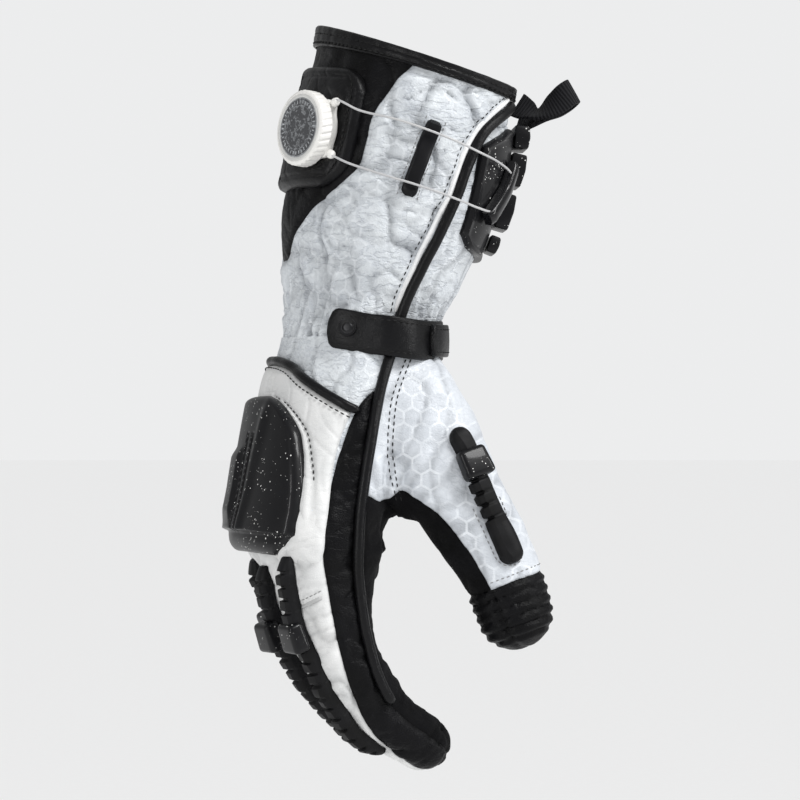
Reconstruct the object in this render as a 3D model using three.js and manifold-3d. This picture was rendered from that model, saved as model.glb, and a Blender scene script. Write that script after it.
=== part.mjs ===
// A right-hand leather motorcycle glove with a long cuff, as worn: fingers down and curled, thumb spread.
// Millimetres, +Z up towards the forearm, -X the back of the hand, -Y the thumb side.
// The origin is the middle of the wrist, inside the strap.
import * as THREE from 'three';
import { mergeVertices } from 'three/addons/utils/BufferGeometryUtils.js';
import Module from 'manifold-3d';

const wasm = await Module();
wasm.setup();

// Driving dimensions
const WALL = 2; // leather with its lining
const GAP = 0.3; // kept between pieces that touch
const CLEAR = 0.8; // kept under what lies on the skin, whose flat faces stand off its curve
const SECTION_POWER = 2.15; // roundness of every section: 2 is an ellipse
const STEP = 0.01; // share of a row used to measure directions on a tube

// Flat faces round each tube, outside and inside
const SMALLEST = 0.1; // slivers flatter than this are merged away
const SIDES = { body: [18, 18], finger: [8, 6], thumb: [10, 8] };
const FINGER_JOINTS = 5; // sections along a finger before its rounded tip
const THUMB_JOINTS = 6;
const THUMB_TIP_AT = 3.42; // where the ribbed tip begins along the thumb

const WRIST_SEAM = 1; // height where the cuff is sewn to the hand, under the strap
const BINDING = { low: 112, top: 119.2, thick: 1.2, off: 0.4 };
const PIPING = { radius: 2.3, sides: 5 };
const PAD = { thick: 3.7, from: -30, edge: 3.2 };
const PANEL = { thick: 2.2 };
const GUARD = { thick: 5, ridge: 1.6 };
const ARMOUR = { base: 2.2, wide: 12 };
const SPINE = { wide: 9, high: 5.5, notch: 1.6, pitch: 0.17 };
const CLIP = { long: 13, wide: 13, high: 8.2 };
// The joint where each finger's spine starts under the guard, and the middle of its clip
const SPINE_PLACES = {
  index: { top: 0.1, clipAt: 0.8 },
  middle: { top: 0.2, clipAt: 0.8 },
  ring: { top: 0.2, clipAt: 0.85 },
  little: { top: 0.6, clipAt: 1.2 },
};
const STRAP = { wide: 16.5, thick: 2.2 };
const DIAL = { at: 77, deg: 12, tilt: 6, turn: 10, sides: 18, hub: 3 };
const PORT = { along: 10, up: 10, lift: 5.2 }; // where the lace leaves the dial's base
const LACE = { radius: 0.55, sides: 5 };
const LOOP = { wide: 11, thick: 1.5 };

// The tube of cuff, wrist and palm, a row for each section: the height and offset of its middle, the lean
// of its plane, its reach to the back, palm, thumb side and little-finger side, and how far the
// little-finger side sets towards the palm (slant), both sides do (arch), and the thumb side hangs (dip)
const BODY = {
  frame: 'lean',
  rows: table(['at', 'x', 'lean', 'back', 'palm', 'radial', 'ulnar', 'slant', 'arch', 'dip'], [
    [125, 24.6, 15.5, 39, 38, 48, 48, 0, 0, 10],
    [118.5, 23.2, 15.5, 39, 38.5, 48, 48, 0, 0, 9],
    [100, 19.3, 14.2, 40.1, 40.6, 48.7, 48.7, 0, 0, 3],
    [85, 16, 13, 41, 42, 49, 49, 0, 0, 0],
    [50, 8, 12, 41, 39.5, 47.5, 47.5, 0, 0, 0],
    [27, 2, 9, 36, 34.5, 43, 44, 0, 0, 0],
    [8, -2.8, 6, 30.5, 29.5, 37.5, 39.5, 0, 0, 0],
    [-4, -4, 7, 31, 29, 38, 39.5, 1, 0, 0],
    [-25, -11, 12, 31, 30, 43, 43, 3, 0, 0],
    [-50, -19, 15, 29, 28, 46.5, 46.5, 5, 2, 0],
    [-75, -27, 15, 26, 28, 47.5, 47.5, 7, 3, 0],
    [-90, -33, 15, 21, 33, 47, 44, 7, 3, 0],
    [-98, -34, 15, 14, 25, 43, 34, 6, 2, 0],
    [-102, -34, 15, 7, 14, 34, 25, 4, 1, 0],
  ]),
};

// The fingers, a row for each joint from root to tip: the joint's middle, and the finger's reach there.
// seam is how far on the palm side of the middle the side seam runs
const FINGER_COLUMNS = ['at', 'x', 'y', 'z', 'back', 'palm', 'radial', 'ulnar', 'seam'];
const FINGERS = {
  index: finger(2.66, [
    [-1, -28, -34, -50, 11, 14, 9, 9, 9],
    [0, -41, -36, -84, 15, 32, 11.5, 11.5, 9],
    [1, -31, -35.5, -121, 15, 14.5, 11.6, 11.6, 4],
    [2, -13, -34, -151.5, 13.5, 13, 11.2, 11.2, 3],
    [3, 20, -32, -173, 11.5, 11.5, 10.4, 10.4, 1],
  ]),
  middle: finger(2.66, [
    [-1, -30, -12, -50, 14, 14, 9, 9, 6],
    [0, -40.5, -12, -84, 14.5, 20, 11.5, 11.5, 6],
    [1, -30.5, -12, -122, 14.5, 14, 11.6, 11.6, 2],
    [2, -7, -11.5, -150, 13.5, 13, 11.2, 11.2, 1],
    [3, 19, -10.5, -167, 11.5, 11.5, 10.4, 10.4, 0],
  ]),
  ring: finger(2.6, [
    [-1, -25, 12, -48, 13, 13, 9, 9, 4],
    [0, -35, 12, -80, 14.5, 18, 11.3, 11.3, 4],
    [1, -19, 12, -114, 14.5, 13.5, 11.3, 11.3, 1],
    [2, -4, 11.2, -143, 13, 12.5, 11, 11, 0],
    [3, 16, 10, -163, 11, 11, 10, 10, 0],
  ]),
  little: finger(2.5, [
    [-1, -19, 33, -44, 10, 12, 9, 9, 3],
    [0, -28, 35.4, -72, 13.5, 15, 10.6, 10.6, 3],
    [1, -11, 35, -99, 13, 12.5, 10.6, 10.6, 1],
    [2, 0, 33.2, -119, 12, 11.5, 10.2, 10.2, 0],
    [3, 14, 31, -137, 10.5, 10.5, 9.4, 9.4, 0],
  ]),
};

// The thumb, whose back faces the thumb side; ulnar is its reach across the web towards the index finger
const THUMB = {
  frame: 'thumb',
  cap: 3.64,
  rows: table(FINGER_COLUMNS, [
    [0, 3, -20, -8, 16, 16, 16, 18, 0],
    [1, 9, -37, -31, 15.5, 18, 17, 22, 0],
    [2, 17, -48, -58, 15, 17, 16.5, 25, 0],
    [3, 29, -58, -91, 14.5, 14.5, 16.5, 17, 0],
    [4, 40, -64.5, -127, 13, 13, 14.5, 14.5, 0],
  ]),
};

// Where the side piping runs: height on the body, or joint along the index finger, and angle from the back
const PIPING_ON_BODY = table(['at', 'deg'], [
  [113, 130], [98, 112], [84, 103], [58, 97], [29, 90], [8, 87], [-10, 85], [-30, 87], [-50, 89],
  [-72, 95],
]);
const PIPING_ON_INDEX = table(['at', 'deg'], [
  [0.35, 112], [0.7, 107], [1, 105], [1.35, 104], [1.7, 103], [2, 102],
]);

// The lace's way from the dial's upper port over the bar to the hook, and back to its lower port
const LACE_ROUTE = table(['at', 'deg', 'lift'], [
  [85, 42, 4.9], [83.8, 60, 2.6], [82, 76, 1.9], [80.2, 89, 5], [78.6, 99.5, 7], [77.6, 113, 5.9],
  [75.8, 129, 6], [71.5, 133.5, 6], [64, 125, 6], [58.5, 117.5, 5.9], [57.4, 106, 5.9], [57.8, 97, 7],
  [58.8, 86, 4.4], [60, 72, 1.9], [61, 60, 2.4], [63.4, 42, 4.9],
]);
const LACE_BAR = table(['at', 'deg'], [[87, 78], [71.5, 75], [55.5, 72]]);
const LACE_HOOK = table(['at', 'deg'], [[79, 131.5], [68, 127], [56.5, 117]]);
const STRAP_ROUTE = table(['at', 'deg', 'lift'], [
  [2, 42, 0.9], [1.2, 56, 0.9], [0.2, 67, 1.4], [0, 74, 3.4], [-0.3, 81, 6.2], [-0.5, 92, 6.2],
  [0, 101, 3.2], [0.8, 114, 1.8], [1.8, 130, 1.2], [2.4, 147, 1], [2.6, 163, 1], [2.6, 180, 1],
  [2.6, 198, 1.1], [2.6, 215, 1.1], [2.7, 233, 1.1], [2.8, 250, 1.1], [3, 268, 1.1],
]);
const STRAP_TAB = table(['at', 'deg', 'lift'], [
  [0.4, 108, 5.4], [1.2, 119, 4.5], [2, 132, 3.9], [2.6, 147, 3.7],
]);
// The pull loop's webbing, doubled over: its middle as seen from the front, how far back, and how its
// width is turned
const LOOP_ROUTE = table(['right', 'up', 'deep', 'tilt', 'face'], [
  [63.2, 99.4, 8, 18, 10], [67, 97.2, 7, 24, 35], [71.6, 95.4, 6, 5, 66], [78.6, 99.2, 4.2, -22, 30],
  [84, 103.4, 4, -29, 4], [86.6, 105, 8, -29, 0], [84.6, 103, 12, -29, 4], [79, 98.4, 11, -24, 30],
  [72.6, 93.6, 11, 5, 66], [68.4, 93, 15, 20, 30], [64.2, 93, 19, 18, 15],
]);

// The padded panel's edges over the back of the hand, and the guard's, at each angle from the back
const PANEL_EDGES = table(['at', 'top', 'bottom'], [
  [-76, -20, -80], [-45, -16, -88], [-15, -16, -89], [13, -18.5, -89], [35, -24, -88], [55, -29, -87],
  [71, -33.5, -84],
]);
const GUARD_EDGES = table(['at', 'top', 'bottom'], [
  [-58, -38, -84], [-38, -32, -91], [0, -32, -93], [22, -33, -93], [38, -37, -93], [48, -44, -91],
  [56, -54, -86],
]);
const ARMOUR_EDGES = table(['at', 'top', 'bottom'], [
  [106, 82, 46], [116, 89, 41], [132, 97, 40], [165, 97, 40], [196, 92, 46],
]);
const ARMOUR_BLOCKS = table(['at', 'deg', 'tall', 'jut'], [
  [95, 150, 10, 4.6], [80.8, 150, 14, 4.8], [63, 149, 15.4, 4.2], [48.5, 147, 7.4, 2.6],
]);

// The edges of the black leather on the back of the cuff, as angles from the back at each height
const CUFF_BLACK = table(['at', 'thumbSide', 'littleSide'], [
  [126, 66, -80], [111.5, 60, -80], [102, 54, -79], [96, 51.5, -78], [83, 46, -76], [73, 46, -75],
  [63, 43.5, -74], [58, 38, -73], [53.5, 30, -72], [44, 11, -66], [34, -9, -54], [27, -24, -36],
]);

// The edge of the black leather down the hand's thumb side
const SIDE_PANEL_EDGE = table(['at', 'deg'], [
  [-20, 88], [-23, 81], [-31, 75.5], [-44, 73], [-57, 72.6], [-69, 75], [-81, 78.5], [-96, 80],
]);

function table(columns, rows) {
  return rows.map((row) => Object.fromEntries(columns.map((name, i) => [name, row[i]])));
}

function finger(cap, rows) {
  return { frame: 'finger', cap, rows: table(FINGER_COLUMNS, rows) };
}

// A table's row at any height between its rows, on a smooth curve through them
function rowAt(rows, at) {
  const down = rows[0].at > rows[rows.length - 1].at;
  let i = 0;
  while (i < rows.length - 2 && (down ? at < rows[i + 1].at : at > rows[i + 1].at)) i += 1;
  const [a, b] = [rows[i], rows[i + 1]];
  const before = rows[i - 1] ?? a;
  const after = rows[i + 2] ?? b;
  const span = b.at - a.at;
  const t = (at - a.at) / span;
  const mixed = {};
  for (const key of Object.keys(a)) {
    const slopeA = ((b[key] - before[key]) / (b.at - before.at)) * span;
    const slopeB = ((after[key] - a[key]) / (after.at - a.at)) * span;
    mixed[key] =
      (2 * t ** 3 - 3 * t ** 2 + 1) * a[key] + (t ** 3 - 2 * t ** 2 + t) * slopeA +
      (3 * t ** 2 - 2 * t ** 3) * b[key] + (t ** 3 - t ** 2) * slopeB;
  }
  return mixed;
}

const rad = (deg) => THREE.MathUtils.degToRad(deg);
const vec = (x, y, z) => new THREE.Vector3(x, y, z);
const steps = (from, to, count) =>
  Array.from({ length: count + 1 }, (_, i) => from + ((to - from) * i) / count);
const corners = (count) => steps(0, 360, count).slice(0, -1);

// A tube's middle and directions at a row: back of the hand, thumb side
function frameAt(tube, at) {
  const row = rowAt(tube.rows, at);
  if (tube.frame === 'lean') {
    const lean = rad(row.lean);
    const back = vec(-Math.cos(lean), 0, Math.sin(lean));
    return { row, middle: vec(row.x, 0, row.at), back, side: vec(0, -1, 0) };
  }
  const next = rowAt(tube.rows, at + STEP);
  const along = vec(next.x - row.x, next.y - row.y, next.z - row.z).normalize();
  const middle = vec(row.x, row.y, row.z);
  if (tube.frame === 'finger') {
    return { row, middle, along, back: vec(along.z, 0, -along.x).normalize(), side: vec(0, -1, 0) };
  }
  const back = vec(0, -1, 0).addScaledVector(along, along.y).normalize();
  return { row, middle, along, back, side: vec().crossVectors(back, along).normalize() };
}

// The point on a tube's skin at an angle from the back of the hand towards the thumb side
function skinPoint(tube, at, deg) {
  const { row, middle, back, side } = frameAt(tube, at);
  const [toBack, toSide] = [Math.cos(rad(deg)), Math.sin(rad(deg))];
  const depth = toBack > 0 ? row.back : row.palm;
  const breadth = toSide > 0 ? row.radial : row.ulnar;
  const share = (Math.abs(toBack) / depth) ** SECTION_POWER + (Math.abs(toSide) / breadth) ** SECTION_POWER;
  let reach = share ** (-1 / SECTION_POWER);
  if (tube.cap !== undefined && at > tube.cap) {
    const last = tube.rows[tube.rows.length - 1].at;
    reach *= Math.sqrt(Math.max(0, 1 - ((at - tube.cap) / (last - tube.cap)) ** 2));
  }
  const point = middle.clone()
    .addScaledVector(back, toBack * reach).addScaledVector(side, toSide * reach);
  if (tube.frame === 'lean') {
    const across = (-toSide * reach) / breadth;
    point.x += row.slant * across + row.arch * across ** 2;
    point.z += row.dip * across;
  }
  return point;
}

function skinNormal(tube, at, deg) {
  const around = skinPoint(tube, at, deg + 1).sub(skinPoint(tube, at, deg - 1));
  const along = skinPoint(tube, at + STEP, deg).sub(skinPoint(tube, at - STEP, deg));
  const normal = vec().crossVectors(around, along).normalize();
  const { middle } = frameAt(tube, at);
  return normal.dot(skinPoint(tube, at, deg).sub(middle)) < 0 ? normal.negate() : normal;
}

// A point off the skin, outwards by lift
function onSkin(tube, at, deg, lift = 0) {
  return skinPoint(tube, at, deg).addScaledVector(skinNormal(tube, at, deg), lift);
}

// A closed mesh through rings of points, each end closed to its middle
function closedLoft(rings) {
  const count = rings[0].length;
  const points = rings.flat();
  const faces = [];
  for (let r = 0; r + 1 < rings.length; r += 1) {
    for (let i = 0; i < count; i += 1) {
      const j = (i + 1) % count;
      const [a, b, c, d] = [r * count + i, r * count + j, (r + 1) * count + j, (r + 1) * count + i];
      faces.push([a, b, c], [a, c, d]);
    }
  }
  const ends = [[rings[0], 0, true], [rings[rings.length - 1], (rings.length - 1) * count, false]];
  for (const [ring, first, flip] of ends) {
    const hub = points.length;
    points.push(ring.reduce((sum, p) => sum.add(p), vec(0, 0, 0)).divideScalar(count));
    for (let i = 0; i < count; i += 1) {
      const j = (i + 1) % count;
      faces.push(flip ? [first + j, first + i, hub] : [first + i, first + j, hub]);
    }
  }
  return facing(points, faces);
}

// A closed plate between an upper and a lower grid of points
function plate(upper, lower) {
  const [rows, columns] = [upper.length, upper[0].length];
  const [up, low] = [0, rows * columns].map((start) => (r, c) => start + r * columns + c);
  const faces = [];
  const quad = (a, b, c, d) => faces.push([a, b, c], [a, c, d]);
  for (let r = 0; r + 1 < rows; r += 1) {
    for (let c = 0; c + 1 < columns; c += 1) {
      quad(up(r, c), up(r, c + 1), up(r + 1, c + 1), up(r + 1, c));
      quad(low(r, c), low(r + 1, c), low(r + 1, c + 1), low(r, c + 1));
    }
    quad(up(r, 0), up(r + 1, 0), low(r + 1, 0), low(r, 0));
    quad(up(r + 1, columns - 1), up(r, columns - 1), low(r, columns - 1), low(r + 1, columns - 1));
  }
  for (let c = 0; c + 1 < columns; c += 1) {
    quad(up(0, c + 1), up(0, c), low(0, c), low(0, c + 1));
    quad(up(rows - 1, c), up(rows - 1, c + 1), low(rows - 1, c + 1), low(rows - 1, c));
  }
  return facing([...upper.flat(), ...lower.flat()], faces);
}

// A plate lying on a tube: a grid over heights and angles, crowned by high
function skinPlate(tube, ats, degs, low, high) {
  const grid = (lift) => ats.map((at, r) => degs(at).map((deg, c, row) =>
    onSkin(tube, at, deg, lift(r / (ats.length - 1), c / (row.length - 1)))));
  return plate(grid(high), grid(() => low));
}

// Rings laid along a route on a tube: section(i) gives the outline there, across the route and outwards
function laidRings(tube, route, section) {
  const place = (i) => {
    const stop = route[Math.max(0, Math.min(route.length - 1, i))];
    return skinPoint(tube, stop.at, stop.deg);
  };
  return route.map((stop, i) => {
    const normal = skinNormal(tube, stop.at, stop.deg);
    const across = vec().crossVectors(normal, place(i + 1).sub(place(i - 1))).normalize();
    const foot = onSkin(tube, stop.at, stop.deg, stop.lift ?? 0);
    return section(i).map(([aside, lift]) =>
      foot.clone().addScaledVector(across, aside).addScaledVector(normal, lift));
  });
}

const laid = (tube, route, section) => closedLoft(laidRings(tube, route, section));

const roundSection = (radius, sides, lift) =>
  corners(sides).map((deg) => [Math.cos(rad(deg)) * radius, lift + Math.sin(rad(deg)) * radius]);
const flatSection = (wide, low, high, narrow = 0.6) =>
  [[-wide / 2, low], [-wide / 2 + narrow, high], [wide / 2 - narrow, high], [wide / 2, low]];

// A closed tube along points
function cord(points, radius, sides) {
  const curve = new THREE.CatmullRomCurve3(points, false, 'centripetal');
  const count = Math.round(points.length * 1.6);
  const { normals, binormals } = curve.computeFrenetFrames(count);
  return closedLoft(steps(0, 1, count).map((t, i) => {
    const p = curve.getPointAt(t);
    return corners(sides).map((deg) => p.clone()
      .addScaledVector(normals[i], Math.cos(rad(deg)) * radius)
      .addScaledVector(binormals[i], Math.sin(rad(deg)) * radius));
  }));
}

// A closed mesh swept round a loop: the last section joins the first
function ringLoft(sections) {
  const [n, m] = [sections.length, sections[0].length];
  const faces = [];
  for (let r = 0; r < n; r += 1) {
    for (let i = 0; i < m; i += 1) {
      const [s, j] = [(r + 1) % n, (i + 1) % m];
      faces.push([r * m + i, r * m + j, s * m + j], [r * m + i, s * m + j, s * m + i]);
    }
  }
  return facing(sections.flat(), faces);
}

// The geometry of points and faces, turned so that its faces point out
function facing(points, faces) {
  const volume = faces.reduce((sum, [a, b, c]) =>
    sum + points[a].dot(vec().crossVectors(points[b], points[c])), 0);
  const geometry = new THREE.BufferGeometry();
  const places = points.flatMap((p) => [p.x, p.y, p.z]);
  geometry.setAttribute('position', new THREE.Float32BufferAttribute(places, 3));
  geometry.setIndex(faces.flatMap(([a, b, c]) => (volume < 0 ? [a, c, b] : [a, b, c])));
  return geometry;
}

function toSolid(geometry) {
  const bare = geometry.clone();
  bare.deleteAttribute('normal');
  bare.deleteAttribute('uv');
  const merged = mergeVertices(bare, 1e-4);
  return new wasm.Manifold(new wasm.Mesh({
    numProp: 3,
    vertProperties: new Float32Array(merged.attributes.position.array),
    triVerts: new Uint32Array(merged.index.array),
  }));
}

function toGeometry(solid) {
  const mesh = solid.getMesh();
  const geometry = new THREE.BufferGeometry();
  geometry.setAttribute('position', new THREE.Float32BufferAttribute(mesh.vertProperties, 3));
  geometry.setIndex(Array.from(mesh.triVerts));
  return geometry;
}

const joined = (solids) => solids.reduce((all, next) => all.add(next));
// The largest body of a solid, without the slivers that a cut leaves
const whole = (solid) =>
  solid.decompose().reduce((best, next) => (next.volume() > best.volume() ? next : best));

const leather = {
  white: [0xe2e6e8, 0.5], black: [0x17181a, 0.45], smooth: [0xe8e9e6, 0.4], suede: [0x141415, 0.85],
};
const plastic = {
  white: [0xeae8e2, 0.35], black: [0x151617, 0.4], gloss: [0x0b0b0c, 0.12], face: [0x3a3b3e, 0.25],
};
const glove = new THREE.Group();

function addPiece(name, shape, [color, roughness], metalness = 0) {
  const geometry = shape.isBufferGeometry ? shape : toGeometry(whole(shape).simplify(SMALLEST));
  const mesh = new THREE.Mesh(geometry, new THREE.MeshStandardMaterial({ color, roughness, metalness }));
  mesh.name = name;
  glove.add(mesh);
  return mesh;
}

// A tube between two angles, or whole, as a solid. Its open side is closed by a flat face
function tubeLoft(tube, stations, sides, lift, arc) {
  return toSolid(closedLoft(stations.map((at) => {
    const angles = arc ? steps(...arc(rowAt(tube.rows, at)), sides) : corners(sides);
    return angles.map((deg) => onSkin(tube, at, deg, lift));
  })));
}

// Where a tube is cut: through its joints, and closer together over a rounded tip
function digitStations(tube, first, joints) {
  const last = tube.rows[tube.rows.length - 1].at;
  const rounded = [35, 68].map((deg) => tube.cap + (last - tube.cap) * Math.sin(rad(deg)));
  return [...steps(first, tube.cap, joints), ...rounded];
}

// The angles of a tube's back half and palm half, parted at its side seam
const seamAngle = (row) =>
  90 + THREE.MathUtils.radToDeg(Math.asin(Math.min(0.8, (row.seam ?? 0) / row.palm)));
const inDegrees = (length, row) => THREE.MathUtils.radToDeg(length / row.radial);
const backArc = (spare) => (row) => {
  const edge = seamAngle(row) + inDegrees(spare, row);
  return [-edge, edge];
};
const palmArc = (spare) => (row) => {
  const edge = seamAngle(row) - inDegrees(spare, row);
  return [edge, 360 - edge];
};

const cuffStations = [118.5, 109, 92, 72, 52, 36, 22, 10, 0, -6];
const palmStations = [6, -6, -24, -48, -72, -88, -98, -102];
const digits = Object.values(FINGERS);
const fingerStations = (tube) => digitStations(tube, -0.8, FINGER_JOINTS);
const thumbStations = digitStations(THUMB, 0.3, THUMB_JOINTS);
const hollow = joined([
  tubeLoft(BODY, [124, ...cuffStations.slice(1, -2), ...palmStations.slice(1)], SIDES.body[1], -WALL),
  ...digits.map((tube) => tubeLoft(tube, fingerStations(tube), SIDES.finger[1], -WALL)),
  tubeLoft(THUMB, thumbStations, SIDES.thumb[1], -WALL),
]);
const halfHand = (arc, spare, lift = 0) => joined([
  tubeLoft(BODY, palmStations, SIDES.body[0] / 2, lift, arc(spare)),
  ...digits.map((tube) => tubeLoft(tube, fingerStations(tube), SIDES.finger[0] / 2, lift, arc(spare))),
]);
const thumbHalf = (arc, spare, lift = 0, stations = thumbStations) =>
  tubeLoft(THUMB, stations, SIDES.thumb[0] / 2, lift, arc(spare));

// Cutters that part the skin into its panels
const box = (low, high) => toSolid(new THREE.BoxGeometry(...high.map((h, i) => h - low[i])))
  .translate(high.map((h, i) => (h + low[i]) / 2));
// A wedge of a tube between two angles
const wedge = (tube, stations, angles, reach, count) => toSolid(closedLoft(stations.map((at) => {
  const { middle, back, side } = frameAt(tube, at);
  const rim = steps(...angles(at), count).map((deg) => middle.clone()
    .addScaledVector(back, Math.cos(rad(deg)) * reach).addScaledVector(side, Math.sin(rad(deg)) * reach));
  return [middle.clone(), ...rim];
})));
const aboveSeam = box([-90, -110, WRIST_SEAM + GAP / 2], [110, 90, 140]);
const belowSeam = box([-90, -110, -220], [110, 90, WRIST_SEAM - GAP / 2]);

// The cuff: white leather round the arm, black leather over its back
const cuffSkin = tubeLoft(BODY, cuffStations, SIDES.body[0], 0).subtract(hollow).intersect(aboveSeam);
const blackWedge = (spread) => wedge(BODY, [126, 111.5, 96, 83, 63, 54, 44, 34, 27], (at) => {
  const edge = rowAt(CUFF_BLACK, at);
  return [edge.littleSide - spread, edge.thumbSide + spread];
}, 75, 6);
addPiece('cuff_shell', cuffSkin.subtract(blackWedge(0.25)), leather.white);
addPiece('cuff_back_panel', cuffSkin.intersect(blackWedge(-0.25)), leather.black);

// The hand: its back, the black panel along the thumb side, the palm, and the thumb, each with its
// fingers' halves
const thumbSpace = joined([backArc, palmArc].map((arc) =>
  thumbHalf(arc, GAP, 2 * GAP, [thumbStations[0] - 0.02, ...thumbStations.slice(1)])));
const backWhole = halfHand(backArc, -GAP / 2).subtract(hollow).intersect(belowSeam).subtract(thumbSpace);
const sideWedges = (spread) => joined([
  wedge(BODY, [-23, -31, -44, -57, -69, -81, -92],
    (at) => [rowAt(SIDE_PANEL_EDGE, at).deg - spread, 130], 70, 3),
  wedge(FINGERS.index, [-0.3, 0.3, 0.8, 1.3, 1.8, 2.3], (at) => [at < 0.3 ? 72 : 58 - spread, 140], 24, 3),
]);
addPiece('hand_back_shell', backWhole.subtract(sideWedges(0.3)), leather.white);
addPiece('thumb_side_panel', backWhole.intersect(sideWedges(-0.3)), leather.black);
const palmWhole = halfHand(palmArc, -GAP / 2).subtract(halfHand(backArc, GAP / 2, GAP)).subtract(hollow);
addPiece('palm_shell', palmWhole.intersect(belowSeam).subtract(thumbSpace), leather.suede);

const tipSpace = (at) => toSolid(closedLoft([at, 4.4].map((level) => {
  const { middle, back, side } = frameAt(THUMB, level);
  return [[-40, -40], [-40, 40], [40, 40], [40, -40]].map(([b, s]) =>
    middle.clone().addScaledVector(back, b).addScaledVector(side, s));
})));
const [thumbBack, thumbPalm] = [backArc, palmArc].map((arc) =>
  thumbHalf(arc, -GAP / 2).subtract(hollow).intersect(belowSeam));
addPiece('thumb_back_shell', thumbBack.subtract(tipSpace(THUMB_TIP_AT)), leather.white);
addPiece('thumb_palm_shell', thumbPalm.subtract(tipSpace(THUMB_TIP_AT)), leather.suede);
addPiece('thumb_tip_cap', tubeLoft(THUMB, thumbStations, SIDES.thumb[0], 0)
  .subtract(hollow).intersect(tipSpace(THUMB_TIP_AT + 0.012)), leather.black);

// The cuff's binding folds over its rim
const rimTop = BINDING.top + BINDING.thick;
const underRim = -WALL - BINDING.off;
const rimSection = (deg) => [
  [BINDING.low, BINDING.off], [BINDING.top, BINDING.off],
  [BINDING.top, underRim], [BINDING.low + 3, underRim],
  [BINDING.low + 3, underRim - BINDING.thick], [rimTop, underRim - BINDING.thick],
  [rimTop, BINDING.off + BINDING.thick], [BINDING.low, BINDING.off + BINDING.thick],
].map(([at, lift]) => onSkin(BODY, at, deg, lift));
addPiece('cuff_binding', ringLoft(corners(SIDES.body[0]).map(rimSection)), leather.black);

// The closure dial on its pad, with the lace from its two ports
const dialAxis = vec(-Math.cos(rad(DIAL.turn)), -Math.sin(rad(DIAL.turn)), Math.tan(rad(DIAL.tilt)))
  .normalize();
const dialAcross = vec(0, 0, 1).cross(dialAxis).normalize();
const dialUp = vec().crossVectors(dialAxis, dialAcross);
const dialFoot = onSkin(BODY, DIAL.at, DIAL.deg);
const fromDial = (height, along, up) => dialFoot.clone().addScaledVector(dialAxis, height)
  .addScaledVector(dialAcross, along).addScaledVector(dialUp, up);
const turned = (profile, sides = DIAL.sides) => closedLoft(profile.map(([height, radius]) =>
  corners(sides).map((deg) => fromDial(height, Math.cos(rad(deg)) * radius, Math.sin(rad(deg)) * radius))));
const ports = [1, -1].map((way) => fromDial(PORT.lift, PORT.along, way * PORT.up));
const lacePoints = [
  fromDial(PORT.lift, PORT.along + 5.6, PORT.up + 1.6),
  ...LACE_ROUTE.map(({ at, deg, lift }) => onSkin(BODY, at, deg, lift)),
  fromDial(PORT.lift, PORT.along + 5.6, -PORT.up - 1.6),
];
const lace = toSolid(cord(lacePoints, LACE.radius, LACE.sides));
const laceSpace = toSolid(cord(lacePoints, LACE.radius + GAP + 0.25, LACE.sides));
const drum = turned([[2, 12.4], [2.8, 13.2], [6.9, 13.2], [6.9, DIAL.hub], [2.9, DIAL.hub]]);
const cylinder = (low, high, radius) => toSolid(turned([[low, radius], [high, radius]]));
const padEdge = (at) => 39 - Math.max(0, (at - 96) * 2) - Math.max(0, (62 - at) * 0.9);
const crown = (u, v) => Math.max(Math.abs(2 * u - 1), Math.abs(2 * v - 1)) ** 6;
const padDegrees = (at) => steps(PAD.from, padEdge(at), 7);
const dialPad = toSolid(skinPlate(BODY, [104, 98, 88, 77, 66, 58, 54], padDegrees, CLEAR,
  (u, v) => PAD.thick - PAD.edge * 0.55 * crown(u, v)));
const portBalls = (radius) => joined(ports.map((port) =>
  toSolid(new THREE.SphereGeometry(radius, 7, 5)).translate(port.toArray())));
const padHoles = joined([cylinder(-8, 8, 13.6), laceSpace, portBalls(2.9)]);
addPiece('dial_pad', dialPad.subtract(padHoles), leather.black);
const underSkirt = cylinder(4.9, 6.1, 20);
const lugs = portBalls(2.4).intersect(underSkirt).subtract(laceSpace);
addPiece('dial_base', toSolid(drum).add(lugs).subtract(cylinder(2.9, 8, DIAL.hub)), plastic.white);
addPiece('dial_spindle', turned([[3.2, 2.6], [10, 2.6], [10.2, 2.3]], 16), plastic.black);
addPiece('dial_knob', turned([
  [10.6, 3], [7.2, 3], [7.2, 13.8], [6.4, 13.8], [6.4, 15.6], [11.8, 15.6], [12.6, 14.7], [12.6, 13.3],
  [12, 13.3],
]), plastic.white);
addPiece('dial_face', turned([[12.3, 13], [12.6, 13], [12.9, 10]]), plastic.face);
addPiece('lace', lace, plastic.white);

// The bar and hook that the lace runs through, and the armour on the outside of the cuff
const onCuff = (route, section) => toSolid(laid(BODY, route, section));
const laceBar = onCuff(LACE_BAR, () => flatSection(6, CLEAR, 3.4));
const laceHook = onCuff(LACE_HOOK, () => flatSection(6.5, ARMOUR.base + 2 * CLEAR, 7.4));
addPiece('lace_bar', laceBar.subtract(laceSpace), plastic.black);
addPiece('lace_hook', laceHook.subtract(laceSpace), plastic.black);
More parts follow.
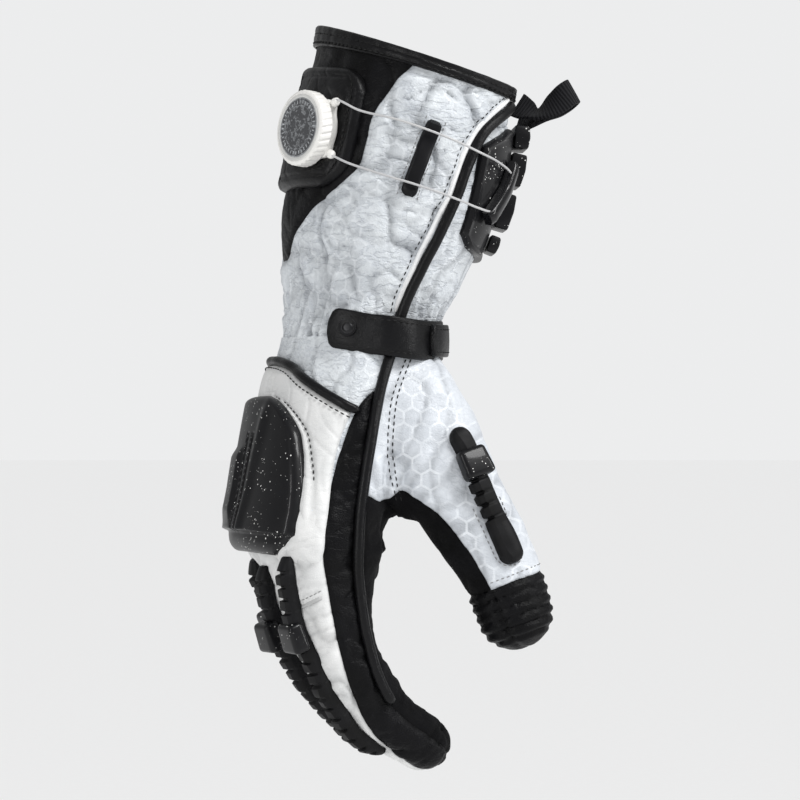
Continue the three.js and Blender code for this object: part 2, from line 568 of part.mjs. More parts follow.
// A plate between a table's edges, from its lowest to its highest angle
const edgedPlate = (edges, degs, rows, low, high) => {
  const grid = (lift) => steps(0, 1, rows).map((v) => degs.map((deg) => {
    const { top, bottom } = rowAt(edges, deg);
    const at = top + (bottom - top) * v;
    return onSkin(BODY, at, deg, lift(v, deg, at));
  }));
  return toSolid(plate(grid(high), grid(low)));
};
addPiece('cuff_armour_base', edgedPlate(ARMOUR_EDGES, [106, 116, 130, 145, 160, 178, 196], 5,
  () => CLEAR, () => CLEAR + ARMOUR.base), plastic.black);
ARMOUR_BLOCKS.forEach(({ at, deg, tall, jut }, i) => {
  const low = ARMOUR.base + 1.5 * CLEAR;
  const stops = steps(at + tall / 2, at - tall / 2, 3).map((height) => ({ at: height, deg }));
  const block = laid(BODY, stops, (stop) =>
    flatSection(ARMOUR.wide, low, low + jut - (stop % 3 ? 0 : 1.4), 2.5));
  addPiece(`cuff_armour_block_${i + 1}`, block, plastic.black);
});

// Piping down the side, from the cuff to the index finger's last joint
const pipe = () => roundSection(PIPING.radius, PIPING.sides, PIPING.radius + CLEAR);
const stopsOn = (seam, ats) => ats.map((at) => ({ at, deg: rowAt(seam, at).deg }));
addPiece('side_piping', closedLoft([
  ...laidRings(BODY, stopsOn(PIPING_ON_BODY, steps(109, -70, 16)), pipe),
  ...laidRings(FINGERS.index, stopsOn(PIPING_ON_INDEX, steps(0.3, 2, 7)), pipe),
]), leather.black);

// The wrist strap and its snap and free end
const strapPlate = (route, wide) => {
  const grid = (extra) => route.map(({ at, deg, lift }) =>
    [-0.5, 0, 0.5].map((way) => onSkin(BODY, at - way * wide, deg, lift + extra)));
  return plate(grid(STRAP.thick), grid(0));
};
addPiece('wrist_strap', toSolid(strapPlate(STRAP_ROUTE, STRAP.wide)).subtract(thumbSpace), leather.black);
addPiece('strap_tab', toSolid(strapPlate(STRAP_TAB, STRAP.wide - 3)).subtract(thumbSpace), leather.black);
const snapAt = { at: 1.2, deg: 56 };
const snapFoot = onSkin(BODY, snapAt.at, snapAt.deg, STRAP_ROUTE[1].lift + STRAP.thick + 2 * GAP);
const snapOut = skinNormal(BODY, snapAt.at, snapAt.deg);
const snapTurn = new THREE.Quaternion().setFromUnitVectors(vec(0, 1, 0), snapOut);
const snap = new THREE.CylinderGeometry(3.2, 3.85, 1.6, 16).translate(0, 0.8, 0)
  .applyQuaternion(snapTurn).translate(snapFoot.x, snapFoot.y, snapFoot.z);
addPiece('strap_snap', toSolid(snap), plastic.gloss);

// The pull loop's webbing
const [right, up, deep] = [vec(0.883, -0.469, 0), vec(0, 0, 1), vec(0.469, 0.883, 0)];
const loopMiddles = LOOP_ROUTE.map((stop) => right.clone().multiplyScalar(stop.right)
  .addScaledVector(up, stop.up).addScaledVector(deep, stop.deep));
addPiece('pull_loop', closedLoft(LOOP_ROUTE.map(({ tilt, face }, i) => {
  const middle = loopMiddles[i];
  const heading = (loopMiddles[i + 1] ?? middle).clone().sub(loopMiddles[i - 1] ?? middle).normalize();
  const inView = right.clone().multiplyScalar(Math.sin(rad(tilt))).addScaledVector(up, Math.cos(rad(tilt)));
  const width = inView.multiplyScalar(Math.cos(rad(face))).addScaledVector(deep, Math.sin(rad(face)));
  const thickness = vec().crossVectors(heading, width).normalize();
  return [[-1, -1], [-1, 1], [1, 1], [1, -1]].map(([w, t]) => middle.clone()
    .addScaledVector(width, (w * LOOP.wide) / 2).addScaledVector(thickness, (t * LOOP.thick) / 2));
})), leather.black);

// The padded panel over the back of the hand, the binding along its top, and the hard guard set in it
const backGrown = (lift) => halfHand(backArc, -GAP / 2, lift);
const panelSpace = backGrown(PANEL.thick + GAP);
const region = (edges, degs) => edgedPlate(edges, degs, 4, () => -10, () => 16);
const panelRegion = region(PANEL_EDGES, [-76, -55, -30, -5, 13, 30, 50, 71]);
const panel = backGrown(PANEL.thick).intersect(panelRegion).subtract(backGrown(GAP));
addPiece('knuckle_panel', panel, leather.smooth);
const rollStops = steps(-74, 70, 12).map((deg) => ({ at: rowAt(PANEL_EDGES, deg).top + 2.6, deg }));
const roll = laid(BODY, rollStops, () => roundSection(1.9, 6, 1.9 + CLEAR));
addPiece('knuckle_panel_piping', roll, leather.black);
// The guard stands higher along its ridges and where the knuckles end, and slopes to its upper and lower rims
const guardHeight = (v, deg, at) => 2.6 + GUARD.thick +
  GUARD.ridge * Math.cos(rad((deg - 17) * 10.6)) * Math.sin(Math.PI * v) +
  Math.max(0, 27 - rowAt(BODY.rows, at).back) * 0.55 - 3 * Math.abs(2 * v - 1) ** 4;
const guardDegrees = [-58, -49, -38, -26, -14, -2, 10, 22, 34, 46, 56];
const guard = edgedPlate(GUARD_EDGES, guardDegrees, 7, () => -4, guardHeight);
addPiece('knuckle_guard', guard.subtract(panelSpace), plastic.gloss);

// The ribbed spines down the fingers and thumb, with a clip over each at its middle joint
function addSpine(name, tube, from, to, clipAt) {
  const stops = steps(from, to, Math.round((to - from) / SPINE.pitch) * 2).map((at) => ({ at, deg: 0 }));
  const high = (i) =>
    Math.min(SPINE.high, 2.4 + 0.8 * Math.min(i, stops.length - 1 - i)) - (i % 2 ? SPINE.notch : 0);
  addPiece(name, laid(tube, stops, (i) => flatSection(SPINE.wide, CLEAR, CLEAR + high(i), 1)), plastic.black);
  const clipStops = [-0.5, 0.5].map((way) => ({ at: clipAt + (way * CLIP.long) / 36, deg: 0 }));
  const clip = toSolid(laid(tube, clipStops, () => flatSection(CLIP.wide, CLEAR, CLIP.high, 1.2)));
  const spineSpace = toSolid(laid(tube, stops, () =>
    flatSection(SPINE.wide + 2 * GAP, -2, CLEAR + SPINE.high + GAP, 0)));
  addPiece(name.replace('spine', 'spine_clip'), clip.subtract(spineSpace), plastic.gloss);
}
for (const [name, tube] of Object.entries(FINGERS)) {
  const { top, clipAt } = SPINE_PLACES[name];
  addSpine(`finger_spine_${name}`, tube, top, 2.3, clipAt);
}
addSpine('thumb_spine', THUMB, 1.45, 3.1, 1.95);

export default glove;
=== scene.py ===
"""A right-hand leather motorcycle glove with a long cuff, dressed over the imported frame.

The leather is cut in panels from one skin that repeats the frame's own tubes. Lengths in the tables are
millimetres: +Z up the forearm, -X the back of the hand, -Y the thumb side.
"""
import math

import bpy
import numpy as np
from mathutils import Matrix, Vector, noise
from mathutils.bvhtree import BVHTree
from mathutils.kdtree import KDTree


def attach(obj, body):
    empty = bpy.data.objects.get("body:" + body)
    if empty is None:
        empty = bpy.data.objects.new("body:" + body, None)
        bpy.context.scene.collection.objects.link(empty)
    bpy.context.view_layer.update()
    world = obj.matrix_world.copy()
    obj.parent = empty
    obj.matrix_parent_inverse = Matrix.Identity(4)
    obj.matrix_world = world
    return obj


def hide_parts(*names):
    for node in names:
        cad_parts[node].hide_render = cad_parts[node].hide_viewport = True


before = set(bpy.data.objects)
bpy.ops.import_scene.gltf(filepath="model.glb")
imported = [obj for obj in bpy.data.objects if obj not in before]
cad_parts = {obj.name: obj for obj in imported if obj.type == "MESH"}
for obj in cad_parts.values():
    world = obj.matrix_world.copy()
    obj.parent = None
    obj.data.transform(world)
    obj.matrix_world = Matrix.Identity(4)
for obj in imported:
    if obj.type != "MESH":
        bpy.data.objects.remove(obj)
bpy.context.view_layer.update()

MM = 0.001
SECTION_POWER = 2.15
WALL = 1.5
CUFF_TOP, WRIST_SEAM = 118.5, 1.0


def table(columns, rows):
    return {name: np.array([row[i] for row in rows], float) for i, name in enumerate(columns.split())}


BODY = {"frame": "lean", "rows": table("at x lean back palm radial ulnar slant arch dip", [
    (125, 24.6, 15.5, 39, 38, 48, 48, 0, 0, 10),
    (118.5, 23.2, 15.5, 39, 38.5, 48, 48, 0, 0, 9),
    (100, 19.3, 14.2, 40.1, 40.6, 48.7, 48.7, 0, 0, 3),
    (85, 16, 13, 41, 42, 49, 49, 0, 0, 0),
    (50, 8, 12, 41, 39.5, 47.5, 47.5, 0, 0, 0),
    (27, 2, 9, 36, 34.5, 43, 44, 0, 0, 0),
    (8, -2.8, 6, 30.5, 29.5, 37.5, 39.5, 0, 0, 0),
    (-4, -4, 7, 31, 29, 38, 39.5, 1, 0, 0),
    (-25, -11, 12, 31, 30, 43, 43, 3, 0, 0),
    (-50, -19, 15, 29, 28, 46.5, 46.5, 5, 2, 0),
    (-75, -27, 15, 26, 28, 47.5, 47.5, 7, 3, 0),
    (-90, -33, 15, 21, 33, 47, 44, 7, 3, 0),
    (-98, -34, 15, 14, 25, 43, 34, 6, 2, 0),
    (-102, -34, 15, 7, 14, 34, 25, 4, 1, 0)])}
DIGIT_COLUMNS = "at x y z back palm radial ulnar"
INDEX = {"frame": "finger", "cap": 2.66, "rows": table(DIGIT_COLUMNS, [
    (-1, -28, -34, -50, 11, 14, 9, 9),
    (0, -41, -36, -84, 15, 32, 11.5, 11.5),
    (1, -31, -35.5, -121, 15, 14.5, 11.6, 11.6),
    (2, -13, -34, -151.5, 13.5, 13, 11.2, 11.2),
    (3, 20, -32, -173, 11.5, 11.5, 10.4, 10.4)])}
MIDDLE = {"frame": "finger", "cap": 2.66, "rows": table(DIGIT_COLUMNS, [
    (-1, -30, -12, -50, 14, 14, 9, 9),
    (0, -40.5, -12, -84, 14.5, 20, 11.5, 11.5),
    (1, -30.5, -12, -122, 14.5, 14, 11.6, 11.6),
    (2, -7, -11.5, -150, 13.5, 13, 11.2, 11.2),
    (3, 19, -10.5, -167, 11.5, 11.5, 10.4, 10.4)])}
RING = {"frame": "finger", "cap": 2.6, "rows": table(DIGIT_COLUMNS, [
    (-1, -25, 12, -48, 13, 13, 9, 9),
    (0, -35, 12, -80, 14.5, 18, 11.3, 11.3),
    (1, -19, 12, -114, 14.5, 13.5, 11.3, 11.3),
    (2, -4, 11.2, -143, 13, 12.5, 11, 11),
    (3, 16, 10, -163, 11, 11, 10, 10)])}
LITTLE = {"frame": "finger", "cap": 2.5, "rows": table(DIGIT_COLUMNS, [
    (-1, -19, 33, -44, 10, 12, 9, 9),
    (0, -28, 35.4, -72, 13.5, 15, 10.6, 10.6),
    (1, -11, 35, -99, 13, 12.5, 10.6, 10.6),
    (2, 0, 33.2, -119, 12, 11.5, 10.2, 10.2),
    (3, 14, 31, -137, 10.5, 10.5, 9.4, 9.4)])}
THUMB = {"frame": "thumb", "cap": 3.64, "rows": table(DIGIT_COLUMNS, [
    (0, 3, -20, -8, 16, 16, 16, 18),
    (1, 9, -37, -31, 15.5, 18, 17, 22),
    (2, 17, -48, -58, 15, 17, 16.5, 25),
    (3, 29, -58, -91, 14.5, 14.5, 16.5, 17),
    (4, 40, -64.5, -127, 13, 13, 14.5, 14.5)])}
FINGERS = {"index": INDEX, "middle": MIDDLE, "ring": RING, "little": LITTLE}

# Seams: the height on the body, or the joint along the index finger, and the angle from the back
PIPING_ON_BODY = table("at deg", [
    (113, 130), (98, 112), (84, 103), (58, 97), (29, 90), (8, 87), (-10, 85), (-30, 86), (-55, 88),
    (-67, 90.3), (-76, 93.4)])
PIPING_ON_INDEX = table("at deg", [
    (0.15, 136), (0.41, 134), (0.62, 129), (0.91, 122), (1.25, 115), (1.57, 107), (1.92, 102), (2.3, 98)])
SIDE_ON_BODY = table("at deg", [
    (20, 105), (-16, 98), (-20, 88), (-23.1, 80.6), (-31.2, 75.4), (-44.3, 72.9), (-56.8, 72.6),
    (-69.3, 75.1), (-81, 78.4), (-96, 80)])
SIDE_ON_INDEX = table("at deg", [
    (0, 74), (0.25, 72.8), (0.52, 68.6), (0.89, 58.9), (1.25, 51.8), (1.67, 41.6), (2.05, 29.5),
    (2.43, 14.4), (3, 6)])
CUFF_BLACK = table("at thumb_side little_side", [
    (126, 66, -80), (111.5, 60, -80), (102, 54, -79), (96, 51.5, -78), (83, 46, -76), (73, 46, -75),
    (63, 43.5, -74), (58, 38, -73), (53.5, 30, -72), (44, 11, -66), (34, -9, -54), (27, -24, -36)])
CUFF_BLACK_FROM = 28

# The photograph's plane and scale, and the pixel where its middle line meets the wrist
PHOTO_RIGHT, PHOTO_DEEP = np.array([0.883, -0.469, 0]), np.array([0.469, 0.883, 0])
UP = np.array([0, 0, 1.0])
MM_PER_PIXEL = 0.42
PHOTO_SIZE, PHOTO_ORIGIN = 800, (367.5, 340)
# The pixel that the thumb's folds run out from
THUMB_FOLDS_FROM = (384, 520)


def value(rows, name, at):
    """A column of a table at any place between its rows, on a smooth curve through them."""
    order = 1 if rows["at"][0] < rows["at"][-1] else -1
    keys, column = rows["at"][::order], rows[name][::order]
    at = np.clip(np.asarray(at, float), keys[0], keys[-1])
    i = np.clip(np.searchsorted(keys, at) - 1, 0, len(keys) - 2)
    before, after = np.maximum(i - 1, 0), np.minimum(i + 2, len(keys) - 1)
    span = keys[i + 1] - keys[i]
    t = (at - keys[i]) / span
    slope_a = (column[i + 1] - column[before]) / (keys[i + 1] - keys[before]) * span
    slope_b = (column[after] - column[i]) / (keys[after] - keys[i]) * span
    rise = 3 * t ** 2 - 2 * t ** 3
    return ((1 - rise) * column[i] + (t ** 3 - 2 * t ** 2 + t) * slope_a
            + rise * column[i + 1] + (t ** 3 - t ** 2) * slope_b)


def unit(vectors):
    return vectors / np.maximum(np.linalg.norm(vectors, axis=-1, keepdims=True), 1e-9)


def stack(*parts):
    return np.stack(np.broadcast_arrays(*[np.asarray(part, float) for part in parts]), axis=-1)


def middle_of(tube, at):
    rows = tube["rows"]
    if tube["frame"] == "lean":
        return stack(value(rows, "x", at), 0, at)
    return stack(value(rows, "x", at), value(rows, "y", at), value(rows, "z", at))


def frame_of(tube, at):
    """A tube's middle and its directions to the back of the hand and to the thumb side."""
    middle = middle_of(tube, at)
    if tube["frame"] == "lean":
        lean = np.radians(value(tube["rows"], "lean", at))
        return middle, stack(-np.cos(lean), 0, np.sin(lean)), stack(0 * lean, -1, 0)
    step = 0.01
    ahead = np.where(np.asarray(at) > 2.98, 0, step)
    along = unit(middle_of(tube, at + ahead) - middle_of(tube, at + ahead - step))
    if tube["frame"] == "finger":
        back = unit(stack(along[..., 2], 0, -along[..., 0]))
        return middle, back, stack(0 * along[..., 0], -1, 0)
    back = unit(np.array([0, -1, 0]) + along * along[..., 1:2])
    return middle, back, np.cross(back, along)


def reach_of(tube, at, deg):
    rows = tube["rows"]
    to_back, to_side = np.cos(np.radians(deg)), np.sin(np.radians(deg))
    depth = np.where(to_back > 0, value(rows, "back", at), value(rows, "palm", at))
    breadth = np.where(to_side > 0, value(rows, "radial", at), value(rows, "ulnar", at))
    reach = ((np.abs(to_back) / depth) ** SECTION_POWER
             + (np.abs(to_side) / breadth) ** SECTION_POWER) ** (-1 / SECTION_POWER)
    if "cap" in tube:
        past = (np.asarray(at) - tube["cap"]) / (rows["at"][-1] - tube["cap"])
        reach = reach * np.sqrt(np.clip(1 - np.clip(past, 0, 1) ** 2, 0, 1))
    return reach, breadth


def skin_point(tube, at, deg):
    """Points on a tube's skin at an angle from the back of the hand towards the thumb side."""
    at, deg = np.broadcast_arrays(np.asarray(at, float), np.asarray(deg, float))
    middle, back, side = frame_of(tube, at)
    reach, breadth = reach_of(tube, at, deg)
    to_back, to_side = np.cos(np.radians(deg)), np.sin(np.radians(deg))
    point = middle + back * (to_back * reach)[..., None] + side * (to_side * reach)[..., None]
    if tube["frame"] == "lean":
        across, rows = -to_side * reach / breadth, tube["rows"]
        point[..., 0] += value(rows, "slant", at) * across + value(rows, "arch", at) * across ** 2
        point[..., 2] += value(rows, "dip", at) * across
    return point


def small_step(tube):
    """A short way along a tube, in millimetres on the body and in joints on a finger."""
    return 0.3 if tube["frame"] == "lean" else 0.01


def skin_normal(tube, at, deg):
    step = small_step(tube)
    around = skin_point(tube, at, np.asarray(deg) + 1) - skin_point(tube, at, np.asarray(deg) - 1)
    along = skin_point(tube, np.asarray(at) + step, deg) - skin_point(tube, np.asarray(at) - step, deg)
    normal = unit(np.cross(around, along))
    outward = np.sum(normal * (skin_point(tube, at, deg) - middle_of(tube, at)), axis=-1, keepdims=True)
    return np.where(outward < 0, -normal, normal)


def on_skin(tube, at, deg, lift=0.0):
    return skin_point(tube, at, deg) + skin_normal(tube, at, deg) * np.asarray(lift, float)[..., None]


def bump(x, middle, width):
    """1 at the middle, falling smoothly to nothing on both sides."""
    return np.exp(-((x - middle) / width) ** 2)


def rounded(x):
    """The rise of a rounded edge: from 0 where x is 0 to 1 where it is 1 or more."""
    return np.sqrt(np.clip(1 - (1 - np.clip(x, 0, 1)) ** 2, 0, 1))


def smooth_step(low, high, x):
    t = np.clip((np.asarray(x, float) - low) / (high - low), 0, 1)
    return t * t * (3 - 2 * t)


def grid_faces(rows, columns, closed=False):
    """Quads between rows of points, the last column joined to the first when closed."""
    r, c = np.meshgrid(np.arange(rows - 1), np.arange(columns if closed else columns - 1), indexing="ij")
    r, c = r.ravel(), c.ravel()
    n = (c + 1) % columns
    return np.stack([r * columns + c, r * columns + n, (r + 1) * columns + n, (r + 1) * columns + c], axis=1)


def tube_faces(rings, count):
    """The faces of a tube of rings with their points in a circle, closed at both ends."""
    ends = [list(range(count))[::-1], list(range((rings - 1) * count, rings * count))]
    return grid_faces(rings, count, closed=True).tolist() + ends


def unit_grid(rows, columns):
    """Places from 0 to 1 down and across a grid."""
    return np.meshgrid(np.linspace(0, 1, rows), np.linspace(0, 1, columns), indexing="ij")


def neighbour_mean(values, pairs, times):
    """A value at every vertex averaged with its neighbours', over and over."""
    values = np.array(values, float)
    count = len(values)
    degree = np.bincount(pairs.ravel(), minlength=count)
    for _ in range(times):
        total = np.zeros_like(values)
        np.add.at(total, pairs[:, 0], values[pairs[:, 1]])
        np.add.at(total, pairs[:, 1], values[pairs[:, 0]])
        mean = total / (degree if values.ndim == 1 else degree[:, None])
        values = 0.5 * values + 0.5 * mean
    return values


def triangle_sides(triangles):
    return np.concatenate([triangles[:, [0, 1]], triangles[:, [1, 2]], triangles[:, [2, 0]]])


def vertex_normals(points, triangles):
    a, b, c = points[triangles[:, 0]], points[triangles[:, 1]], points[triangles[:, 2]]
    face = np.cross(b - a, c - a)
    total = np.zeros_like(points)
    for corner in range(3):
        np.add.at(total, triangles[:, corner], face)
    return unit(total)


def crumple(points, scale, seed, stretch=(1, 1, 1)):
    """Soft folds: ridged noise about zero, its size in millimetres."""
    q = np.asarray(points) * np.array(stretch) / scale + seed
    return np.array([noise.noise(Vector(p)) for p in q])


def creases(points, scale, seed, stretch=(1, 1, 1)):
    """Narrow valleys between soft cushions, from 0 at a cushion's top to -1 in a crease."""
    return -(1 - np.clip(np.abs(crumple(points, scale, seed, stretch)) * 4.5, 0, 1)) ** 2


class Skin:
    """Triangles with named values at their vertices: distances to seams and places on a tube."""

    def __init__(self, points, triangles, normals, **values):
        self.points, self.triangles, self.normals = points, triangles, normals
        self.values = {name: np.asarray(v, float) for name, v in values.items()}

    def cut(self, name):
        """Splits the triangles along the line where a named value is zero."""
        nearest = 0.08
        f = self.values[name]
        f = np.where(np.abs(f) < nearest, np.where(f > 0, nearest, -nearest), f)
        self.values[name] = f
        above = f > 0
        count = above[self.triangles].sum(axis=1)
        mixed = self.triangles[(count == 1) | (count == 2)]
        if not len(mixed):
            return
        lone = above[mixed] == (above[mixed].sum(axis=1) == 1)[:, None]
        first = lone.argmax(axis=1)
        row = np.arange(len(mixed))
        a, b, c = mixed[row, first], mixed[row, (first + 1) % 3], mixed[row, (first + 2) % 3]
        ends = np.sort(np.stack([np.concatenate([a, a]), np.concatenate([b, c])], axis=1), axis=1)
        edges, which = np.unique(ends, axis=0, return_inverse=True)
        which = which.ravel() + len(self.points)
        t = f[edges[:, 0]] / (f[edges[:, 0]] - f[edges[:, 1]])

        def between(v):
            s = t if v.ndim == 1 else t[:, None]
            return np.concatenate([v, v[edges[:, 0]] * (1 - s) + v[edges[:, 1]] * s])

        self.points, self.normals = between(self.points), unit(between(self.normals))
        self.values = {key: between(v) for key, v in self.values.items()}
        self.values[name][-len(edges):] = 0
        ab, ac = which[:len(a)], which[len(a):]
        whole = self.triangles[(count == 0) | (count == 3)]
        self.triangles = np.concatenate([
            whole, np.stack([a, ab, ac], 1), np.stack([ab, b, c], 1), np.stack([ab, c, ac], 1)])

    def centre(self, name):
        return self.values[name][self.triangles].mean(axis=1)


def new_mesh_object(name, points, faces, material=None, smooth_angle=40):
    """A piece on the glove's body from points in millimetres."""
    mesh = bpy.data.meshes.new(name)
    mesh.from_pydata((np.asarray(points) * MM).tolist(), [], [list(map(int, face)) for face in faces])
    mesh.update()
    piece = bpy.data.objects.new(name, mesh)
    bpy.context.scene.collection.objects.link(piece)
    mesh.polygons.foreach_set("use_smooth", np.ones(len(mesh.polygons), bool))
    mesh.set_sharp_from_angle(angle=math.radians(smooth_angle))
    if material:
        mesh.materials.append(material)
    return piece


def dress(piece, slot, *nodes, body="glove"):
    """A finished piece takes its place on a body and stands for its solids."""
    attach(piece, body)
    if nodes:
        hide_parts(*nodes)
    return piece


def add_layer(piece, name, vectors):
    """Named vectors at a piece's vertices, which its material reads."""
    layer = piece.data.attributes.new(name, "FLOAT_VECTOR", "POINT")
    layer.data.foreach_set("vector", vectors.astype(np.float32).ravel())


def leather_piece(name, skin, kept, material, slot, node):
    """The kept triangles of a skin as leather, closed by an inner face and a rim."""
    triangles = skin.triangles[kept]
    used, index = np.unique(triangles, return_inverse=True)
    triangles = index.reshape(-1, 3)
    outer, normals = skin.points[used], skin.normals[used]
    count = len(used)
    edges = triangle_sides(triangles)
    _, first, seen = np.unique(np.sort(edges, axis=1), axis=0, return_index=True, return_counts=True)
    rim = edges[first[seen == 1]]
    a, b = rim[:, 0], rim[:, 1]
    faces = np.concatenate([
        triangles, triangles[:, ::-1] + count,
        np.stack([b, a, a + count], 1), np.stack([b, a + count, b + count], 1)])
    piece = new_mesh_object(name, np.concatenate([outer, outer - normals * WALL]), faces, material, 50)
    for key in ("flat", "seam", "fold_shade"):
        values = skin.values[key][used]
        if values.ndim == 1:
            values = np.stack([values] * 3, axis=1)
        add_layer(piece, key, np.concatenate([values, values]))
    dress(piece, slot, node)


# The hand's skin: body, fingers and thumb in one, then told apart again by the nearest tube
def closed_loft(tube, ats, count):
    degs = np.linspace(-180, 180, count, endpoint=False)
    rings = skin_point(tube, ats[:, None], degs[None, :])
    points = np.concatenate([rings.reshape(-1, 3), rings[0].mean(axis=0)[None],
                             rings[-1].mean(axis=0)[None]])
    total = len(ats) * count
    i, j = np.arange(count), (np.arange(count) + 1) % count
    faces = [*grid_faces(len(ats), count, closed=True).tolist(),
             *np.stack([j, i, np.full(count, total)], 1).tolist(),
             *np.stack([total - count + i, total - count + j, np.full(count, total + 1)], 1).tolist()]
    return points, faces


def tip_spaced(first, cap, last, count):
    """Places along a finger, closer together over its rounded tip."""
    turn = np.radians(np.linspace(6, 90, 16))
    return np.concatenate([np.linspace(first, cap, count), cap + (last - cap) * np.sin(turn)])


def remeshed_hand(voxel):
    """The body, the fingers, the thumb and the web in one skin: its points and triangles."""
    parts = [(BODY, np.linspace(22, -102, 90), 120)]
    parts += [(tube, tip_spaced(-0.8, tube["cap"], 3, 70), 48) for tube in FINGERS.values()]
    parts += [(THUMB, tip_spaced(0.3, THUMB["cap"], 4, 80), 60)]
    lofts = [closed_loft(*part) for part in parts]
    rings, sides = 24, 40
    turns = np.linspace(-math.pi, math.pi, sides, endpoint=False)
    turn, tilt = np.meshgrid(turns, np.linspace(-1.5, 1.5, rings))
    ball = [np.cos(tilt) * np.cos(turn), np.cos(tilt) * np.sin(turn), np.sin(tilt)]
    web = np.column_stack([part.ravel() for part in ball]) * WEB["reach"] + WEB["middle"]
    lofts.append((web, tube_faces(rings, sides)))
    points, faces = [], []
    for more, quads in lofts:
        start = sum(len(p) for p in points)
        points.append(more)
        faces += [[start + v for v in face] for face in quads]
    whole = new_mesh_object("hand_form", np.concatenate(points), faces)
    remesh = whole.modifiers.new("one_skin", "REMESH")
    remesh.mode = "VOXEL"
    remesh.voxel_size = voxel * MM
    triangulate = whole.modifiers.new("triangles", "TRIANGULATE")
    triangulate.min_vertices = 4
    made = whole.evaluated_get(bpy.context.evaluated_depsgraph_get()).to_mesh()
    points = np.empty(len(made.vertices) * 3)
    made.vertices.foreach_get("co", points)
    triangles = np.empty(len(made.polygons) * 3, int)
    made.polygons.foreach_get("vertices", triangles)
    bpy.data.objects.remove(whole)
    return points.reshape(-1, 3) / MM, triangles.reshape(-1, 3)


def search_range(tube):
    """The first and the last place on a tube where a point of the hand's skin can be."""
    first, last = tube["rows"]["at"][0], tube["rows"]["at"][-1]
    return HAND_TOP if tube["frame"] == "lean" else max(first, 0), last


def nearest_places(tubes, points):
    """For each point the nearest tube, and the place and angle there."""
    samples = []
    for t, tube in enumerate(tubes):
        first, last = search_range(tube)
        ats, degs = np.meshgrid(np.linspace(first, last - 0.004, 90), np.linspace(-180, 176, 90),
                                indexing="ij")
        ats, degs = ats.ravel(), degs.ravel()
        samples.append(np.column_stack([np.full(len(ats), t), ats, degs, skin_point(tube, ats, degs)]))
    samples = np.concatenate(samples)
    tree = KDTree(len(samples))
    for i, p in enumerate(samples[:, 3:]):
        tree.insert(p, i)
    tree.balance()
    nearest = np.array([tree.find(p)[1] for p in points])
    which, at, deg = samples[nearest, 0].astype(int), samples[nearest, 1].copy(), samples[nearest, 2].copy()
    for t, tube in enumerate(tubes):
        mine = which == t
        low, high = sorted(search_range(tube))
        a, d, p = at[mine], deg[mine], points[mine]
        step = small_step(tube)
        for _ in range(3):
            here = skin_point(tube, a, d)
            by_at = (skin_point(tube, a + step, d) - skin_point(tube, a - step, d)) / (2 * step)
            by_deg = (skin_point(tube, a, d + 1) - skin_point(tube, a, d - 1)) / 2
            aa, ad, dd = (by_at ** 2).sum(1), (by_at * by_deg).sum(1), (by_deg ** 2).sum(1)
            off = p - here
            oa, od = (off * by_at).sum(1), (off * by_deg).sum(1)
            det = np.maximum(aa * dd - ad ** 2, 1e-6)
            a = np.clip(a + np.clip((dd * oa - ad * od) / det, -4 * step, 4 * step), low, high)
            d = d + np.clip((aa * od - ad * oa) / det, -4, 4)
        at[mine], deg[mine] = a, (d + 180) % 360 - 180
    return which, at, deg


HAND_TUBES = [BODY, INDEX, MIDDLE, RING, LITTLE, THUMB]
# How far up the body the hand's skin is looked for
HAND_TOP = 24
VOXEL = 1.45
# The joint of the thumb where its ribbed tip begins
THUMB_TIP_AT = 3.27
# The thumb's white leather: its edges as angles from the thumb's back, towards the web and the palm
THUMB_WHITE = table("at web palm", [
    (0, -100, 95), (1, -98, 95), (2, -83, 95), (2.2, -70, 95), (2.7, -58, 94), (3.1, -53, 92),
    (3.4, -48, 91), (4, -48, 90)])
# The palm's edges where no table gives them, as angles from the back
FINGER_PALM_EDGE = 94
LITTLE_EDGE_ON_BODY, LITTLE_EDGE_ON_FINGERS, LITTLE_EDGE_ON_CUFF = -91, -96, -92
# Where the thumb's leather begins on the body, and the back edge of its palm side there
THUMB_FROM, THUMB_PALM_EDGE = -64, 158
# Where the fingers' smooth leather begins
FINGERS_BELOW = -70
# Rough sizes that turn angles and joints into millimetres for patterns and seams
CUFF_RADIUS, BODY_RADIUS, FINGER_RADIUS, MM_PER_JOINT = 45, 44, 13, 34
# The leather between the thumb and the index finger: where it fills the gap, and where its suede begins
WEB = {"middle": np.array([-3, -42, -63.0]), "reach": np.array([13, 7, 13.0]), "suede_below": -66,
       "softened": np.array([4, -37, -72])}


def degree_size(tube, points, at):
    """How many millimetres a degree is at points round a tube."""
    return np.linalg.norm(points - middle_of(tube, at), axis=1) * math.pi / 180


